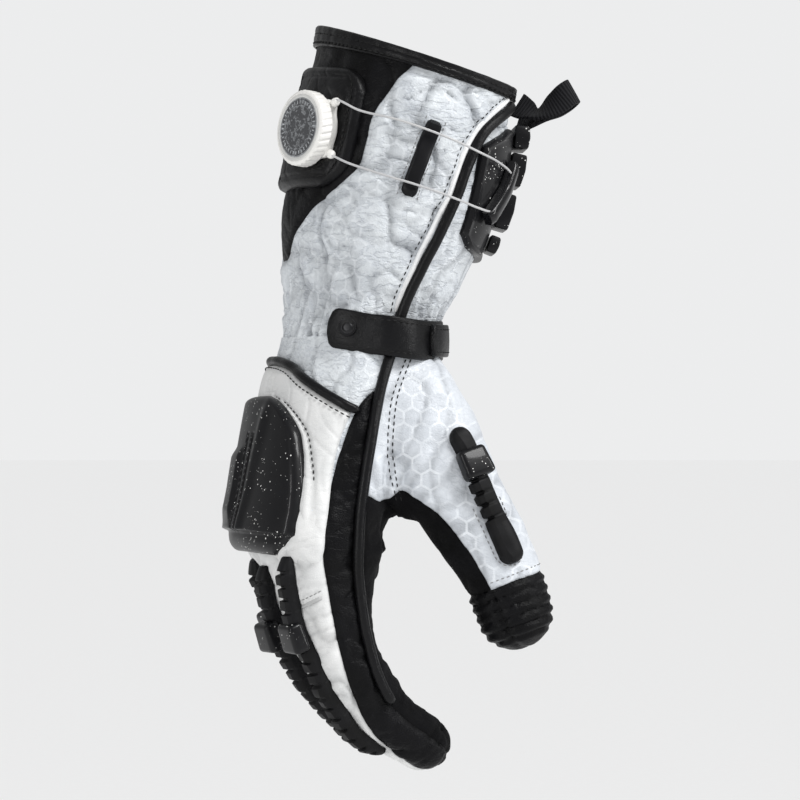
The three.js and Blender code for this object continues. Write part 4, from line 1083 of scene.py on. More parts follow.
def side_piping():
    ats = np.linspace(110.5, -76, 40)
    on_body = skin_point(BODY, ats, value(PIPING_ON_BODY, "deg", ats))
    joints = np.linspace(0.2, 1.98, 16)
    on_index = skin_point(INDEX, joints, value(PIPING_ON_INDEX, "deg", joints))
    points, outward = settled(resampled(np.concatenate([on_body, on_index]), 1.6))
    points, outward = evened(points, outward, 12, 30)
    total = route_length(points)
    piece = sweep("side_piping_roll", points, outward, lambda i, s: round_outline(
        2.25 * rounded_ends(s, total, 3), 1.5 + 0.12 * math.sin(s * 0.21)), BLACK_ROLL)
    dress(piece, "black_leather", "side_piping")
    across = route_frames(points, outward)[1]
    upper = points[:, 2] > 9
    edge, edge_out = settled(points[upper] + across[upper] * EDGE_ASIDE)
    edge, edge_out = evened(edge, edge_out, 8, 16)
    total = route_length(edge)
    strip = sweep("cuff_white_edge", edge, edge_out, lambda i, s: band_outline(
        2.2, -0.6, 0.6 * rounded_ends(s, total, 4), 0.5, 0.3), WHITE_ROLL)
    dress(strip, "smooth_leather")
    beside = edge + across[upper] * EDGE_STITCHES_ASIDE
    stitch_row("cuff_edge_stitches", beside, DARK_THREAD, 0.15, 2.7, 1.8, 0.26)


# Padded panel over the back of the hand, the roll along its top, and the guard in its window
PANEL = table("at top bottom", [
    (-76, -20, -80), (-45, -16, -88), (-15, -16, -89), (13, -18.5, -89), (35, -24, -91), (55, -29, -95),
    (72, -33.5, -93)])
# The guard's edges towards the little finger and the thumb, as angles from the back at each height
GUARD = table("at little thumb", [
    (-31, -14, 2), (-33, -36, 18), (-37.5, -50, 34), (-44, -56, 47), (-52, -58, 54), (-60, -59, 59),
    (-70, -58, 64), (-80, -55, 68), (-86, -48, 69), (-92, -30, 58)])
# The padded panel's edge against the black leather, as an angle from the back at each height
PANEL_SIDE = table("at deg", [(-33, 73), (-45, 70.7), (-57, 71.8), (-72, 76), (-81, 78.5), (-88, 81),
                              (-96, 82)])


# A distance at which a seam no longer darkens the leather with dirt and painted shade
FAR_FROM_SEAM = 5.0


def closed_plate(name, upper, lower, rows, columns, material, smooth_angle=45):
    """A closed plate between an upper and a lower grid of points."""
    half = rows * columns
    top = grid_faces(rows, columns)
    rim = np.concatenate([np.arange(columns), np.arange(1, rows) * columns + columns - 1,
                          (rows - 1) * columns + np.arange(columns - 2, -1, -1),
                          np.arange(rows - 2, 0, -1) * columns])
    after = np.roll(rim, -1)
    faces = np.concatenate([top, top[:, ::-1] + half, np.stack([after, rim, rim + half, after + half], 1)])
    piece = new_mesh_object(name, np.concatenate([upper, lower]), faces, material, smooth_angle)
    add_layer(piece, "seam", np.full((half * 2, 3), FAR_FROM_SEAM))
    outward_facing(piece)
    return piece


def leather_height(base, outward, rows, columns):
    """How far the leather stands off a grid of points, evened over the grid."""
    found = settled(base)[0]
    height = np.clip(((found - base) * outward).sum(1), -3, 9).reshape(rows, columns)
    for _ in range(60):
        padded = np.pad(height, 1, mode="edge")
        height = (padded[:-2, 1:-1] + padded[2:, 1:-1] + padded[1:-1, :-2] + padded[1:-1, 2:]) / 4
    return height.ravel()


def plate_between(name, edges, degs, rows, low, high, material, side=None):
    """A closed plate on the leather between two edges and up to a side; high() is its crown."""
    columns = len(degs)
    v, deg = np.meshgrid(np.linspace(0, 1, rows), degs, indexing="ij")
    u = (deg - degs[0]) / (degs[-1] - degs[0])
    at = value(edges, "top", deg) * (1 - v) + value(edges, "bottom", deg) * v
    if side:
        deg = deg + smooth_step(20, degs[-1], deg) * (value(side, "deg", at) - degs[-1])
    u, v, deg, at = u.ravel(), v.ravel(), deg.ravel(), at.ravel()
    base = skin_point(BODY, at, deg)
    outward = skin_normal(BODY, at, deg)
    base = base + outward * leather_height(base, outward, rows, columns)[:, None]
    upper = base + outward * high(u, v, deg, at)[:, None]
    return closed_plate(name, upper, base + outward * low, rows, columns, material)


def guard_rim_distance(deg, at):
    """How far inside the guard's outline a place on the back of the hand is, negative outside."""
    sides = np.minimum(deg - value(GUARD, "little", at), value(GUARD, "thumb", at) - deg) * 0.6
    return np.minimum(np.minimum(GUARD["at"][0] - at, at - GUARD["at"][-1]), sides)


def knuckle_panel():
    def crown(u, v, deg, at):
        edge = np.minimum(np.minimum(u, 1 - u) * 105, np.minimum(v, 1 - v) * 66)
        full = 0.2 + 2.5 * rounded(edge / 5.5)
        rim = guard_rim_distance(deg, at)
        valley = 0.5 * bump(rim, -0.9, 1.0) - bump(rim, -2.6, 1.0)
        places = skin_point(BODY, at, deg)
        folds = 0.55 * creases(places, 12, 4.1, (1, 1, 0.5)) + 0.5 * crumple(places, 17, 2.6)
        near_right = smooth_step(48, 66, deg)
        slanted = np.column_stack([at * 0.9 + deg * 0.55, (deg - at) * 0.2, 0 * at])
        return full + valley + folds * 0.7 + near_right * 0.55 * creases(slanted, 8, 1.9)

    rows, columns = ((92, 150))
    piece = plate_between("knuckle_pad", PANEL, np.linspace(-76, 72, columns), rows, -0.8, crown,
                          WHITE_SMOOTH, side=PANEL_SIDE)
    dress(piece, "smooth_leather", "knuckle_panel")
    degs = np.linspace(-76, 77.5, 60)
    top = value(PANEL, "top", degs)
    points, outward = settled(resampled(skin_point(BODY, top + 1.6, degs), 1.6))
    points, outward = evened(points, outward, 6, 20)
    total = route_length(points)
    roll = sweep("knuckle_pad_roll", points, outward, lambda i, s: round_outline(
        1.95 * rounded_ends(s, total, 3), 1.5 + 0.1 * math.sin(s * 0.5)), BLACK_ROLL)
    dress(roll, "black_leather", "knuckle_panel_piping")
    below = on_skin(BODY, top - 2.2, degs, 2.3)[4:-2]
    stitch_row("knuckle_pad_top_stitches", below, DARK_THREAD, 0.35, 2.8, on_leather=False)
    at = np.linspace(-31.5, -88, 40)
    beside = on_skin(BODY, at, value(GUARD, "thumb", at) + 4.5, 1.9)
    stitch_row("guard_window_stitches", beside, DARK_THREAD, 0.3, 2.8, 1.9, 0.26, on_leather=False)


def knuckle_guard():
    """The hard guard: a ridge, two slots towards the little finger and a taller lump beside them."""
    rows, columns = 150, 170
    v, u = unit_grid(rows, columns)
    at = GUARD["at"][0] + (GUARD["at"][-1] - GUARD["at"][0]) * v
    deg = value(GUARD, "little", at) * (1 - u) + value(GUARD, "thumb", at) * u
    rim = guard_rim_distance(deg, at)
    face = smooth_step(-31, -44, at)
    ridge = 1.5 * bump(deg, 17, 5.5) * face
    slots = sum(np.exp(-(((deg - d) / 2.2) ** 4)) for d in (3.5, -7))
    slots = slots * smooth_step(-47, -50, at) * smooth_step(-88, -84, at)
    lump = smooth_step(-10, -16, deg) * smooth_step(-50, -38, deg)
    lump = lump * smooth_step(-52, -58, at) * smooth_step(-85, -77, at)
    fullness = np.maximum(0, 27 - value(BODY["rows"], "back", at)) * 0.45
    lip = smooth_step(-84.5, -85.6, at)
    high = (6.0 + ridge - 2.6 * slots + 1.8 * lump + fullness) * (1 - lip) + (3.8 + fullness * 0.6) * lip
    high = 1.4 + high * rounded(rim / 4.0)
    at, deg, high = at.ravel(), deg.ravel(), high.ravel()
    base, outward = skin_point(BODY, at, deg), skin_normal(BODY, at, deg)
    upper, lower = base + outward * high[:, None], base + outward * 0.6
    piece = closed_plate("knuckle_guard_shell", upper, lower, rows, columns, SPECKLED, 30)
    dress(piece, "speckled_rubber", "knuckle_guard")


cuff_binding()
side_piping()
knuckle_panel()
knuckle_guard()


# Closure dial
DIAL_TURN, DIAL_TILT = math.radians(10), math.radians(6)
DIAL_AXIS = unit(np.array([-math.cos(DIAL_TURN), -math.sin(DIAL_TURN), math.tan(DIAL_TILT)]))
DIAL_ACROSS = unit(np.cross(UP, DIAL_AXIS))
DIAL_UP = np.cross(DIAL_AXIS, DIAL_ACROSS)
DIAL_FOOT = on_skin(BODY, 77, 12)


def from_dial(height, along, up):
    """Places by their height over the dial's foot and how far along and up its face they are."""
    height, along, up = [np.asarray(v, float)[..., None] for v in (height, along, up)]
    return DIAL_FOOT + DIAL_AXIS * height + DIAL_ACROSS * along + DIAL_UP * up


def turned(name, profile, material, sides=112, swell=None, smooth_angle=35):
    """A closed form turned about the dial's axis: profile is (height, radius); swell changes the radius."""
    turn = np.linspace(0, 2 * math.pi, sides, endpoint=False)
    rings = []
    for height, radius in profile:
        r = radius + (swell(turn, height, radius) if swell else 0 * turn)
        rings.append(from_dial(np.full(sides, height), np.cos(turn) * r, np.sin(turn) * r))
    faces = tube_faces(len(profile), sides)
    piece = new_mesh_object(name, np.concatenate(rings), faces, material, smooth_angle)
    outward_facing(piece)
    return piece


PORTS = [(10, 10), (10, -10)]


def dial():
    grips = 34

    def twisted(turn, height, radius):
        if radius < 15 or not 6.7 < height < 11.9:
            return 0 * turn
        wave = np.abs(np.sin((turn * grips / 2) + (height - 9) * 0.34))
        return 0.5 * smooth_step(0.1, 0.75, wave) - 0.42

    skirt = [(7.2, 13.4), (6.7, 14.2), (6.5, 15.2), (6.7, 15.55)]
    wall = [(h, 15.75) for h in np.linspace(6.9, 11.5, 12)]
    lip = [(11.9, 15.5), (12.3, 15.0), (12.55, 14.6), (12.6, 14.2), (12.45, 13.9), (12.2, 13.8), (12.2, 3)]
    knob = turned("dial_knob_grip", [(7.3, 3), *skirt, *wall, *lip], WHITE_PLASTIC, 364, twisted, 45)
    dress(knob, "white_plastic", "dial_knob", body="dial_knob")
    ring = [(12.0, 12.4), (12.0, 13.9), (12.5, 14.0), (12.75, 13.75), (12.8, 13.3), (12.7, 12.8),
            (12.45, 12.4)]
    rim = turned("dial_knob_rim", ring, PALE_PLASTIC)
    dress(rim, "white_plastic", body="dial_knob")
    face_print = dial_face_material(from_dial(12.6, 0, 0), DIAL_ACROSS, DIAL_UP)
    disc = [(12.25, 12.6), (12.5, 12.6), (12.62, 12.3), (12.68, 11.5), (12.72, 7), (12.74, 0.4)]
    face = turned("dial_knob_face", disc, face_print)
    dress(face, "grey_plastic", "dial_face", body="dial_knob")

    def lobes(turn, height, radius):
        if radius < 12:
            return 0 * turn
        ports = [math.atan2(up, along) for along, up in PORTS]
        return sum(2.6 * bump(np.angle(np.exp(1j * (turn - p))), 0, 0.2) for p in ports)

    base = turned("dial_housing", [
        (1.6, 3.2), (1.6, 12.2), (2.0, 13.0), (2.8, 13.6), (5.9, 13.6), (6.3, 13.3), (6.5, 12.9),
        (6.5, 3.2)], WHITE_PLASTIC, 180, lobes)
    dress(base, "white_plastic", "dial_base")
    for k, (along, up) in enumerate(PORTS):
        out = unit(DIAL_ACROSS * 5.6 + DIAL_UP * math.copysign(1.6, up))
        start = from_dial(4.7, along + 2.6, up + math.copysign(0.5, up))
        points = start + np.linspace(-1.2, 3.2, 9)[:, None] * out
        widths = [0.8, 1.3, 1.6, 1.7, 1.7, 1.6, 1.5, 1.3, 0.8]
        lug = sweep(f"dial_lace_port_{k + 1}", points, np.tile(DIAL_AXIS, (9, 1)),
                    lambda i, s: round_outline(widths[i], 0, 16) * np.array([1.15, 0.95]), WHITE_PLASTIC)
        dress(lug, "white_plastic")
    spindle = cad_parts["dial_spindle"].data
    spindle.materials.clear()
    spindle.materials.append(BLACK_PLASTIC)


PAD_FROM = -30
PAD_EDGE = table("at deg", [
    (104, 18), (103, 27), (101, 33), (98, 37), (94, 39.5), (88, 40), (70, 40), (64, 39), (60, 36), (57, 31),
    (54.6, 24), (54, 18)])


def dial_pad():
    """The padded leather square under the dial, filled with foam and sewn down along its edge."""
    rows, columns = 70, 80
    v, u = unit_grid(rows, columns)
    at = 104 - 50 * v
    deg = PAD_FROM + (value(PAD_EDGE, "deg", at) - PAD_FROM) * u
    at, deg, u, v = at.ravel(), deg.ravel(), u.ravel(), v.ravel()
    edge = np.minimum(np.minimum(u, 1 - u) * 48, np.minimum(v, 1 - v) * 50)
    high = 0.2 + 4.0 * rounded(edge / 4.2)
    high = high - 0.75 * bump(edge, 4.6, 0.8)
    base = skin_point(BODY, at, deg)
    high = high + 0.5 * crumple(base, 13, 6.6) * smooth_step(1, 6, edge) + 0.25 * creases(base, 9, 7.1)
    radius = np.hypot((base - DIAL_FOOT) @ DIAL_ACROSS, (base - DIAL_FOOT) @ DIAL_UP)
    high = high - 1.6 * smooth_step(19, 14.5, radius)
    outward = skin_normal(BODY, at, deg)
    upper = base + outward * high[:, None]
    piece = closed_plate("dial_cushion", upper, base - outward * 0.4, rows, columns, BLACK_ROLL)
    dress(piece, "black_leather", "dial_pad")
    inset = [(a, value(PAD_EDGE, "deg", a) - 6) for a in np.linspace(58.5, 98.5, 24)]
    route = [(58.5, PAD_FROM + 6), *inset, (98.5, PAD_FROM + 6)]
    along_edge = on_skin(BODY, *np.array(route).T, 3.9)
    stitch_row("dial_cushion_stitches", along_edge, DARK_THREAD, -0.1, 2.8, on_leather=False)


# Lace from the dial's ports over the bar to the hook and back
LACE = table("at deg lift", [
    (85, 42, 4.9), (83.8, 60, 2.6), (82, 76, 2.6), (80.2, 89, 4.2), (78.6, 99.5, 5.6), (77.6, 113, 5.6),
    (75.8, 129, 6), (71.5, 133.5, 6), (64, 125, 6), (58.5, 117.5, 5.9), (57.4, 106, 5.6), (57.8, 97, 5.6),
    (58.8, 86, 4), (60, 72, 2.6), (61, 60, 2.4), (63.4, 42, 4.9)])


def lace():
    middle = on_skin(BODY, LACE["at"], LACE["deg"], LACE["lift"])
    ends = [from_dial(5.2, 15.6, way * 11.6) for way in (1, -1)]
    starts = [from_dial(5.0, 12.0, way * 10.6) for way in (1, -1)]
    points = resampled(np.concatenate([[starts[0]], [ends[0]], middle, [ends[1]], [starts[1]]]), 1.0)
    outward = np.tile(-PHOTO_DEEP, (len(points), 1))
    piece = sweep("closure_lace", points, outward, lambda i, s: round_outline(
        0.47 + 0.03 * (i % 2), 0, 10), LACE_COAT, smooth_angle=80)
    dress(piece, "coated_lace", "lace")


# Hard pieces modelled at the origin, then set on the glove
HARD_EDGE_ANGLE = 35


def set_on(piece, middle, across, up, out):
    """Turns a piece made at the origin, in metres, so that X, Y and Z are across, up and outwards."""
    turn = Matrix([across, up, out]).transposed().to_4x4()
    turn.translation = Vector(middle) * MM
    piece.data.transform(turn)
    piece.data.update()
    return piece


def skin_axes(tube, at, deg, lift=0.0):
    """A place on a tube's skin with its directions: across, along the tube and outwards."""
    middle = on_skin(tube, float(at), float(deg), float(lift))
    out = skin_normal(tube, float(at), float(deg))
    ahead = skin_point(tube, float(at) + 0.05, float(deg)) - skin_point(tube, float(at) - 0.05, float(deg))
    up = unit(ahead - out * (ahead @ out))
    up = up if up[2] > 0 else -up
    return middle, np.cross(up, out), up, out


def active(name, material):
    """The piece being worked on, named and given its material."""
    piece = bpy.context.object
    piece.name = name
    piece.data.name = name
    bpy.ops.object.shade_smooth_by_angle(angle=math.radians(HARD_EDGE_ANGLE))
    piece.data.materials.clear()
    piece.data.materials.append(material)
    return piece


def rounded_box(size, bevel, segments=3):
    """A box with rounded edges at the origin, made as by hand, sizes in millimetres."""
    bpy.ops.object.select_all(action="DESELECT")
    bpy.ops.mesh.primitive_cube_add(size=1, location=(0, 0, 0))
    piece = bpy.context.object
    piece.data.transform(Matrix.Diagonal((*[s * MM for s in size], 1)))
    bpy.ops.object.mode_set(mode="EDIT")
    bpy.ops.mesh.select_all(action="SELECT")
    bpy.ops.mesh.bevel(offset=bevel * MM, segments=segments, profile=0.6, affect="EDGES")
    bpy.ops.mesh.normals_make_consistent(inside=False)
    bpy.ops.object.mode_set(mode="OBJECT")
    return piece


def bar_hook_and_armour():
    ats = np.linspace(87.2, 55.2, 22)
    degs = np.interp(ats, [55.2, 71.5, 87.2], [72, 75, 78])
    points, outward = settled(skin_point(BODY, ats, degs))
    points, outward = evened(points, outward, 10, 20)
    total = route_length(points)
    bar = sweep("lace_guide_bar", points, outward, lambda i, s: band_outline(
        6.6 * (0.55 + 0.45 * rounded_ends(s, total, 3)), -0.4, 2.2 * rounded_ends(s, total, 1.6), 0.8, 0.25),
        BLACK_PLASTIC)
    dress(bar, "black_plastic", "lace_bar")
    across = route_frames(points, outward)[1]
    for way in (-1, 1):
        stitch_row(f"lace_bar_stitches_{way + 2}", points + across * way * 4.4, GREY_THREAD, 0.05, 2.3, 1.6,
                   0.2)
    ats = np.linspace(80.6, 54.8, 16)
    degs = np.interp(ats, [54.8, 68, 80.6], [116, 127, 132.5])
    points = on_skin(BODY, ats, degs, 6.3)
    outward = skin_normal(BODY, ats, degs)
    total = route_length(points)
    hook = sweep("lace_hook_guide", points, outward, lambda i, s: band_outline(
        6.4, -3.2, 1.2 * rounded_ends(s, total, 2), 1.0, 0.4), GLOSS)
    dress(hook, "black_plastic", "lace_hook")
    armour_edges = table("at top bottom", [(106, 82, 46), (116, 89, 41), (132, 97, 40), (165, 97, 40),
                                           (196, 92, 46)])

    def crown(u, v, deg, at):
        top, bottom = value(armour_edges, "top", deg), value(armour_edges, "bottom", deg)
        edge = np.minimum(np.minimum(top - at, at - bottom), np.minimum(deg - 106, 196 - deg) * 0.75)
        return 0.5 + 1.9 * smooth_step(0, 1.2, edge) + 0.9 * bump(edge, 1.6, 1.2)

    base = plate_between("cuff_armour_plate", armour_edges, np.linspace(106, 196, 90), 50, -0.3, crown,
                         SPECKLED)
    dress(base, "speckled_rubber", "cuff_armour_base")
    blocks = [(95, 150, 10, 4.6), (80.8, 150, 14, 4.8), (63, 149, 15.4, 4.2), (48.5, 147, 7.4, 2.6)]
    for k, (at, deg, tall, jut) in enumerate(blocks):
        block = rounded_box((13, tall, jut + 2.2), 1.1)
        bpy.ops.object.mode_set(mode="EDIT")
        bpy.ops.mesh.select_all(action="SELECT")
        bpy.ops.mesh.bisect(plane_co=(0, tall * 0.12 * MM, 0), plane_no=(0, 1, 0.35))
        bpy.ops.mesh.bevel(offset=0.5 * MM, segments=2, affect="EDGES")
        bpy.ops.object.mode_set(mode="OBJECT")
        block = active(f"cuff_armour_rubber_{k + 1}", SPECKLED)
        middle, across, up, out = skin_axes(BODY, at, deg, 2.4 + (jut + 2.2) / 2)
        for vertex in block.data.vertices:
            lean = (vertex.co.y / (tall * MM)) ** 2
            vertex.co.z -= max(0, vertex.co.z) * (0.9 * lean)
            vertex.co.x *= 1 - 0.3 * lean
        set_on(block, middle, across, up, out)
        dress(block, "speckled_rubber", f"cuff_armour_block_{k + 1}")


def spine(name, tube, first, last, node, clip_at, clip_node, tongues=None):
    """A notched spine down a finger's back, with a plain tongue at each end on the thumb, and its clip."""
    joints = np.linspace(first, last, 60)
    points, outward = settled(resampled(skin_point(tube, joints, 0 * joints), 0.45))
    points, outward = evened(points, outward, 60, 120)
    total = route_length(points)
    pitch = total / round(total / 5.4)
    half = 4.4

    def section(i, s):
        place = (s / pitch) % 1
        notch = smooth_step(0.0, 0.1, place) * smooth_step(0.34, 0.24, place)
        at_end = np.clip(min(s, total - s) / 7.5, 0, 1)
        wide = half * (0.55 + 0.45 * math.sqrt(at_end))
        notch = notch * (0.2 < at_end)
        dip, bite = 1.5 * notch, 2.0 * notch
        if tongues:
            at_end = rounded_ends(s, total, 5)
            wide = half * (0.1 + 0.9 * at_end) * (1 + 0.18 * smooth_step(total - 24, total - 11, s))
            notch = notch * (tongues[0] < s < total - tongues[1])
            dip, bite = 0.5 * notch, 2.6 * notch
        high = 1.6 + 3.9 * at_end ** 0.8
        return np.array([
            (wide, -0.6), (wide, high * 0.45), (wide * 0.8, high * 0.82 - dip * 0.5),
            (wide * 0.5, high - dip), (0, high + 0.1 - dip), (-wide * 0.5 + bite * 0.4, high - dip),
            (-wide * 0.8 + bite, high * 0.8 - dip), (-wide + bite, high * 0.42), (-wide + bite * 0.6, -0.6)])

    piece = sweep(name, points, outward, section, RUBBER, smooth_angle=32)
    dress(piece, "black_rubber", node)
    if tongues:
        heading, across, _ = route_frames(points, outward)
        turn = np.linspace(-math.pi / 2, math.pi / 2, 12)[:, None]
        arc = points[-14] + (heading[-14] * np.cos(turn) - across[-14] * np.sin(turn)) * 6.6
        low = slice(-60, -16, 4)
        around = np.concatenate([(points + across * 6.6)[low], arc, (points - across * 6.6)[low][::-1]])
        stitch_row("thumb_spine_stitches", around, GREY_THREAD, 0.1, 2.4, 1.6, 0.22)
    clip = rounded_box((12.8, 12.4, 7.2), 2.3, 4)
    for vertex in clip.data.vertices:
        toward_tip = -vertex.co.y / (6.2 * MM)
        vertex.co.x *= 1 + 0.05 * toward_tip
        vertex.co.z += max(0, vertex.co.z) * (0.14 * toward_tip - 0.1 * toward_tip ** 2)
    clip = active(name + "_clip_cap", SPECKLED)
    middle, across, up, out = skin_axes(tube, clip_at, 0, 5.0)
    set_on(clip, middle, across, up, out)
    dress(clip, "speckled_rubber", clip_node)


# The joint where each finger's spine starts under the guard, and the middle of its clip
SPINE_PLACES = {"index": (0.1, 0.8), "middle": (0.2, 0.8), "ring": (0.2, 0.85), "little": (0.6, 1.2)}


def spines():
    for name, tube in FINGERS.items():
        top, clip_at = SPINE_PLACES[name]
        spine(f"{name}_spine_rubber", tube, top, 2.32, f"finger_spine_{name}", clip_at,
              f"finger_spine_clip_{name}")
    spine("thumb_spine_rubber", THUMB, 1.45, 3.1, "thumb_spine", 1.95, "thumb_spine_clip", tongues=(15, 19))


# Wrist strap
STRAP = table("at deg lift", [
    (2, 42, 0.9), (1.2, 56, 0.9), (0.2, 67, 1.2), (0, 74, 2.4), (-0.3, 81, 4.4), (-0.5, 92, 4.4),
    (0, 101, 2.6), (0.8, 114, 1.6), (1.8, 130, 1.2), (2.4, 147, 1), (2.6, 163, 1), (2.6, 180, 1),
    (2.6, 198, 1.1), (2.6, 215, 1.1), (2.7, 233, 1.1), (2.8, 250, 1.1), (3, 268, 1.1)])
TAB = table("at deg lift", [(0.4, 106, 4.4), (1.2, 119, 3.8), (2, 132, 3.4), (2.6, 147, 3.2)])


def strap_points(rows):
    """A strap's route round the wrist and its outward directions."""
    points = resampled(on_skin(BODY, rows["at"], rows["deg"], rows["lift"]), 1.2)
    outward = np.cross(unit(np.gradient(points, axis=0)), UP)
    middle = middle_of(BODY, points[:, 2].mean())
    flip = np.sign(((points - middle) * outward).sum(1, keepdims=True))
    return points, unit(outward * flip)


def strap_band(name, rows, wide, node, end_reach):
    points, outward = strap_points(rows)
    points, outward = evened(points, outward, 4, 10)
    total = route_length(points)

    def section(i, s):
        width = wide * (0.35 + 0.65 * rounded_ends(s, total, end_reach))
        return band_outline(width, 0.1, 2.2 + 0.12 * math.sin(s * 0.35), 0.7, 0.35)

    piece = sweep(name, points, outward, section, BLACK_ROLL)
    dress(piece, "black_leather", node)
    _, across, outward = route_frames(points, outward)
    for way in (-1, 1):
        route = (points + across * way * (wide / 2 - 2.0) + outward * 2.45)[3:-3]
        stitch_row(f"{name}_stitches_{way + 2}", route, DARK_THREAD, 0.0, 2.8, 1.9, 0.24, on_leather=False)


def wrist_strap():
    strap_band("wrist_strap_leather", STRAP, 16.5, "wrist_strap", 4.0)
    strap_band("wrist_strap_end", TAB, 13.5, "strap_tab", 3.0)
    bpy.ops.object.select_all(action="DESELECT")
    bpy.ops.mesh.primitive_cylinder_add(vertices=48, radius=3.9 * MM, depth=1.4 * MM,
                                        location=(0, 0, 0.7 * MM))
    bpy.ops.object.mode_set(mode="EDIT")
    bpy.context.tool_settings.mesh_select_mode = (False, False, True)
    bpy.ops.mesh.select_all(action="DESELECT")
    bpy.ops.object.mode_set(mode="OBJECT")
    snap = bpy.context.object
    for polygon in snap.data.polygons:
        polygon.select = polygon.normal.z > 0.9
    bpy.ops.object.mode_set(mode="EDIT")
    bpy.ops.mesh.inset(thickness=1.2 * MM, depth=-0.7 * MM)
    bpy.ops.mesh.inset(thickness=0.4 * MM, depth=0.1 * MM)
    bpy.ops.mesh.inset(thickness=0.7 * MM, depth=0.55 * MM)
    bpy.ops.mesh.select_all(action="SELECT")
    bpy.ops.mesh.bevel(offset=0.18 * MM, segments=2, affect="EDGES")
    bpy.ops.object.mode_set(mode="OBJECT")
    snap = active("wrist_strap_snap", SNAP_METAL)
    middle, across, up, out = skin_axes(BODY, 1.2, 56, 3.3)
    set_on(snap, middle, across, up, out)
    dress(snap, "black_metal", "strap_snap")


# Pull loop of ribbed tape, folded over at its end
LOOP = table("right up deep tilt face", [
    (63.2, 99.4, 8, 18, 10), (67, 97.2, 7, 24, 35), (71.6, 95.4, 6, 5, 66), (78.6, 99.2, 4.2, -22, 30),
    (84, 103.4, 4, -29, 4), (86.6, 105, 8, -29, 0), (84.6, 103, 12, -29, 4), (79, 98.4, 11, -24, 30),
    (72.6, 93.6, 11, 5, 66), (68.4, 93, 15, 20, 30), (64.2, 93, 19, 18, 15)])


def pull_loop():
    loop = {"at": np.arange(len(LOOP["right"])), **LOOP}
    t = np.linspace(0, len(LOOP["right"]) - 1, 90)
    right, up, deep, tilt, face = [value(loop, name, t) for name in ("right", "up", "deep", "tilt", "face")]
    points = right[:, None] * PHOTO_RIGHT + up[:, None] * UP + deep[:, None] * PHOTO_DEEP
    tilt, face = np.radians(tilt)[:, None], np.radians(face)[:, None]
    width = (PHOTO_RIGHT * np.sin(tilt) + UP * np.cos(tilt)) * np.cos(face) + PHOTO_DEEP * np.sin(face)
    outward = unit(np.cross(unit(np.gradient(points, axis=0)), width))
    piece = sweep("pull_loop_tape", points, outward, lambda i, s: band_outline(11.0, -0.7, 0.7, 0.35, 0.1),
                  WEBBING)
    dress(piece, "black_webbing", "pull_loop")


def thumb_seams():
    """The double row of dark stitches across the thumb's white leather, as the photograph shows it."""
    route = [(405, 362), (398, 380), (392, 400), (389, 425), (388, 450), (391, 475), (396, 496)]
    for k, shift in enumerate((0, 5)):
        places = []
        for px, py in route:
            right, up = from_pixel(px + shift, py)
            start = (Vector(PHOTO_RIGHT * right) + Vector((0, 0, up)) - Vector(PHOTO_DEEP) * 300) * MM
            hit = SURFACE.ray_cast(start, Vector(PHOTO_DEEP))[0]
            if hit:
                places.append(np.array(hit) / MM)
        stitch_row(f"thumb_seam_stitches_{k + 1}", np.array(places), DARK_THREAD, 0.12, 2.9, 1.9, 0.26)
    degs = np.linspace(-44, 84, 24)
    tip_edge = skin_point(THUMB, np.full(24, THUMB_TIP_AT - 0.07), degs)
    stitch_row("thumb_tip_stitches", tip_edge, GREY_THREAD, 0.1, 2.2, 1.5, 0.22)


def finger_seams():
    """The turned edge where the knuckle panel ends on the index finger, with its stitches."""
    degs = np.linspace(16, 54, 14)
    points, outward = settled(skin_point(INDEX, np.linspace(0.55, 0.50, 14), degs))
    total = route_length(points)
    edge = sweep("index_seam_edge", points, outward, lambda i, s: band_outline(
        1.6, -0.6, 0.75 * rounded_ends(s, total, 2), 0.5, 0.3), WHITE_SMOOTH)
    dress(edge, "smooth_leather")
    beside = skin_point(INDEX, np.linspace(0.49, 0.44, 14), degs)
    stitch_row("index_seam_stitches", beside, GREY_THREAD, 0.1, 2.2, 1.5, 0.2)


dial()
dial_pad()
lace()
bar_hook_and_armour()
spines()
wrist_strap()
pull_loop()
thumb_seams()
finger_seams()


# The room: a pale floor, soft light, and the camera where the photograph was taken
FLOOR_AT = -0.5
SKY, SKY_SEEN, SUN = 0.42, 0.85, 2.2
LIGHTS = [
    ("right_strip", (0.9, -0.9, 0.35), (0.16, 0.9), 6.0),
    ("left_strip", (-1.3, -0.5, 0.25), (0.16, 0.9), 6.0),
]


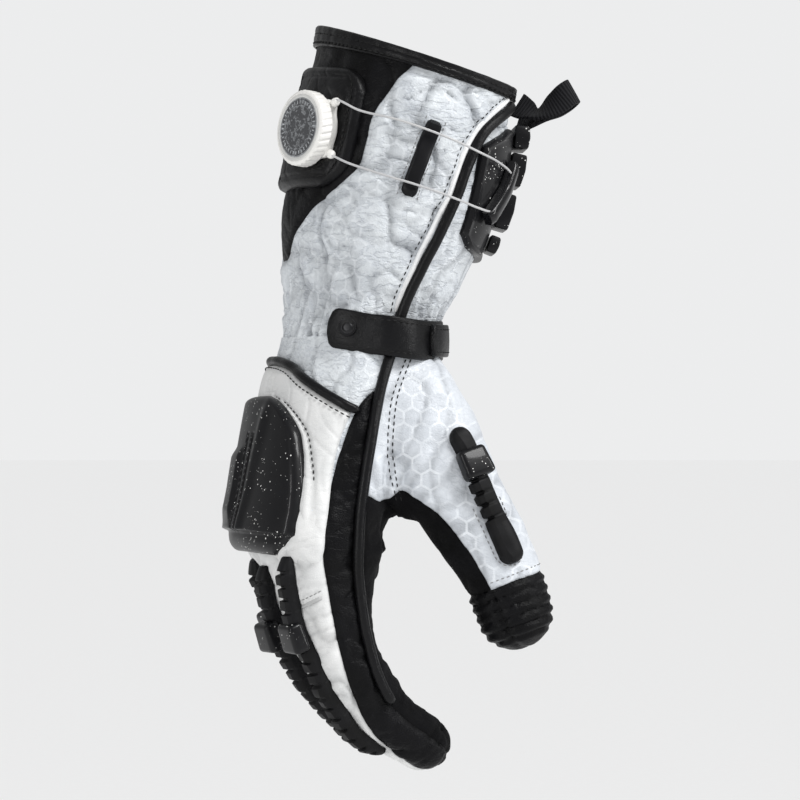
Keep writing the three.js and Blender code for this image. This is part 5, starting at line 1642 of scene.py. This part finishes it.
def build_room():
    bpy.ops.object.select_all(action="DESELECT")
    bpy.ops.mesh.primitive_plane_add(size=60, location=(0, 0, FLOOR_AT))
    floor = bpy.context.object
    floor.name = "floor"
    floor.data.materials.append(plain_material("floor_paint", (0.88, 0.88, 0.88), (0.87, 0.87, 0.87), 0.95))
    world = bpy.data.worlds.new("studio")
    world.use_nodes = True
    background = world.node_tree.nodes["Background"]
    background.inputs["Color"].default_value = (0.99, 0.995, 1.0, 1)
    seen = world.node_tree.nodes.new("ShaderNodeLightPath")
    strength = world.node_tree.nodes.new("ShaderNodeMapRange")
    strength.inputs["To Min"].default_value = SKY
    strength.inputs["To Max"].default_value = SKY_SEEN
    world.node_tree.links.new(seen.outputs["Is Camera Ray"], strength.inputs["Value"])
    world.node_tree.links.new(strength.outputs["Result"], background.inputs["Strength"])
    bpy.context.scene.world = world
    bpy.ops.object.light_add(type="SUN", location=(0.6, -1.2, 1.5))
    sun = bpy.context.object
    sun.name = "key"
    sun.data.energy = SUN
    sun.data.angle = math.radians(22)
    sun.rotation_mode = "QUATERNION"
    sun.rotation_quaternion = Vector((-0.35, 0.75, -1.0)).to_track_quat("-Z", "Y")
    for name, place, size, power in LIGHTS:
        bpy.ops.object.light_add(type="AREA", location=place)
        light = bpy.context.object
        light.name = name
        light.data.shape = "RECTANGLE"
        light.data.size, light.data.size_y = size
        light.data.energy = power
        light.rotation_mode = "QUATERNION"
        light.rotation_quaternion = (Vector((0, 0, -0.03)) - light.location).to_track_quat("-Z", "Y")


CAMERA_AWAY, SENSOR_WIDTH = 1.6, 36


def build_camera():
    right, up = from_pixel(PHOTO_SIZE / 2, PHOTO_SIZE / 2)
    aim = Vector(PHOTO_RIGHT * right * MM) + Vector((0, 0, up * MM))
    bpy.ops.object.camera_add(location=aim - Vector(PHOTO_DEEP) * CAMERA_AWAY)
    camera = bpy.context.object
    camera.name = "photo_camera"
    camera.rotation_mode = "QUATERNION"
    camera.rotation_quaternion = Vector(PHOTO_DEEP).to_track_quat("-Z", "Y")
    camera.data.sensor_width = SENSOR_WIDTH
    camera.data.lens = SENSOR_WIDTH * CAMERA_AWAY / (PHOTO_SIZE * MM_PER_PIXEL * MM)
    camera.data.clip_start, camera.data.clip_end = 0.05, 30
    bpy.context.scene.camera = camera
    bpy.context.scene.view_settings.view_transform = "Standard"


build_room()
build_camera()
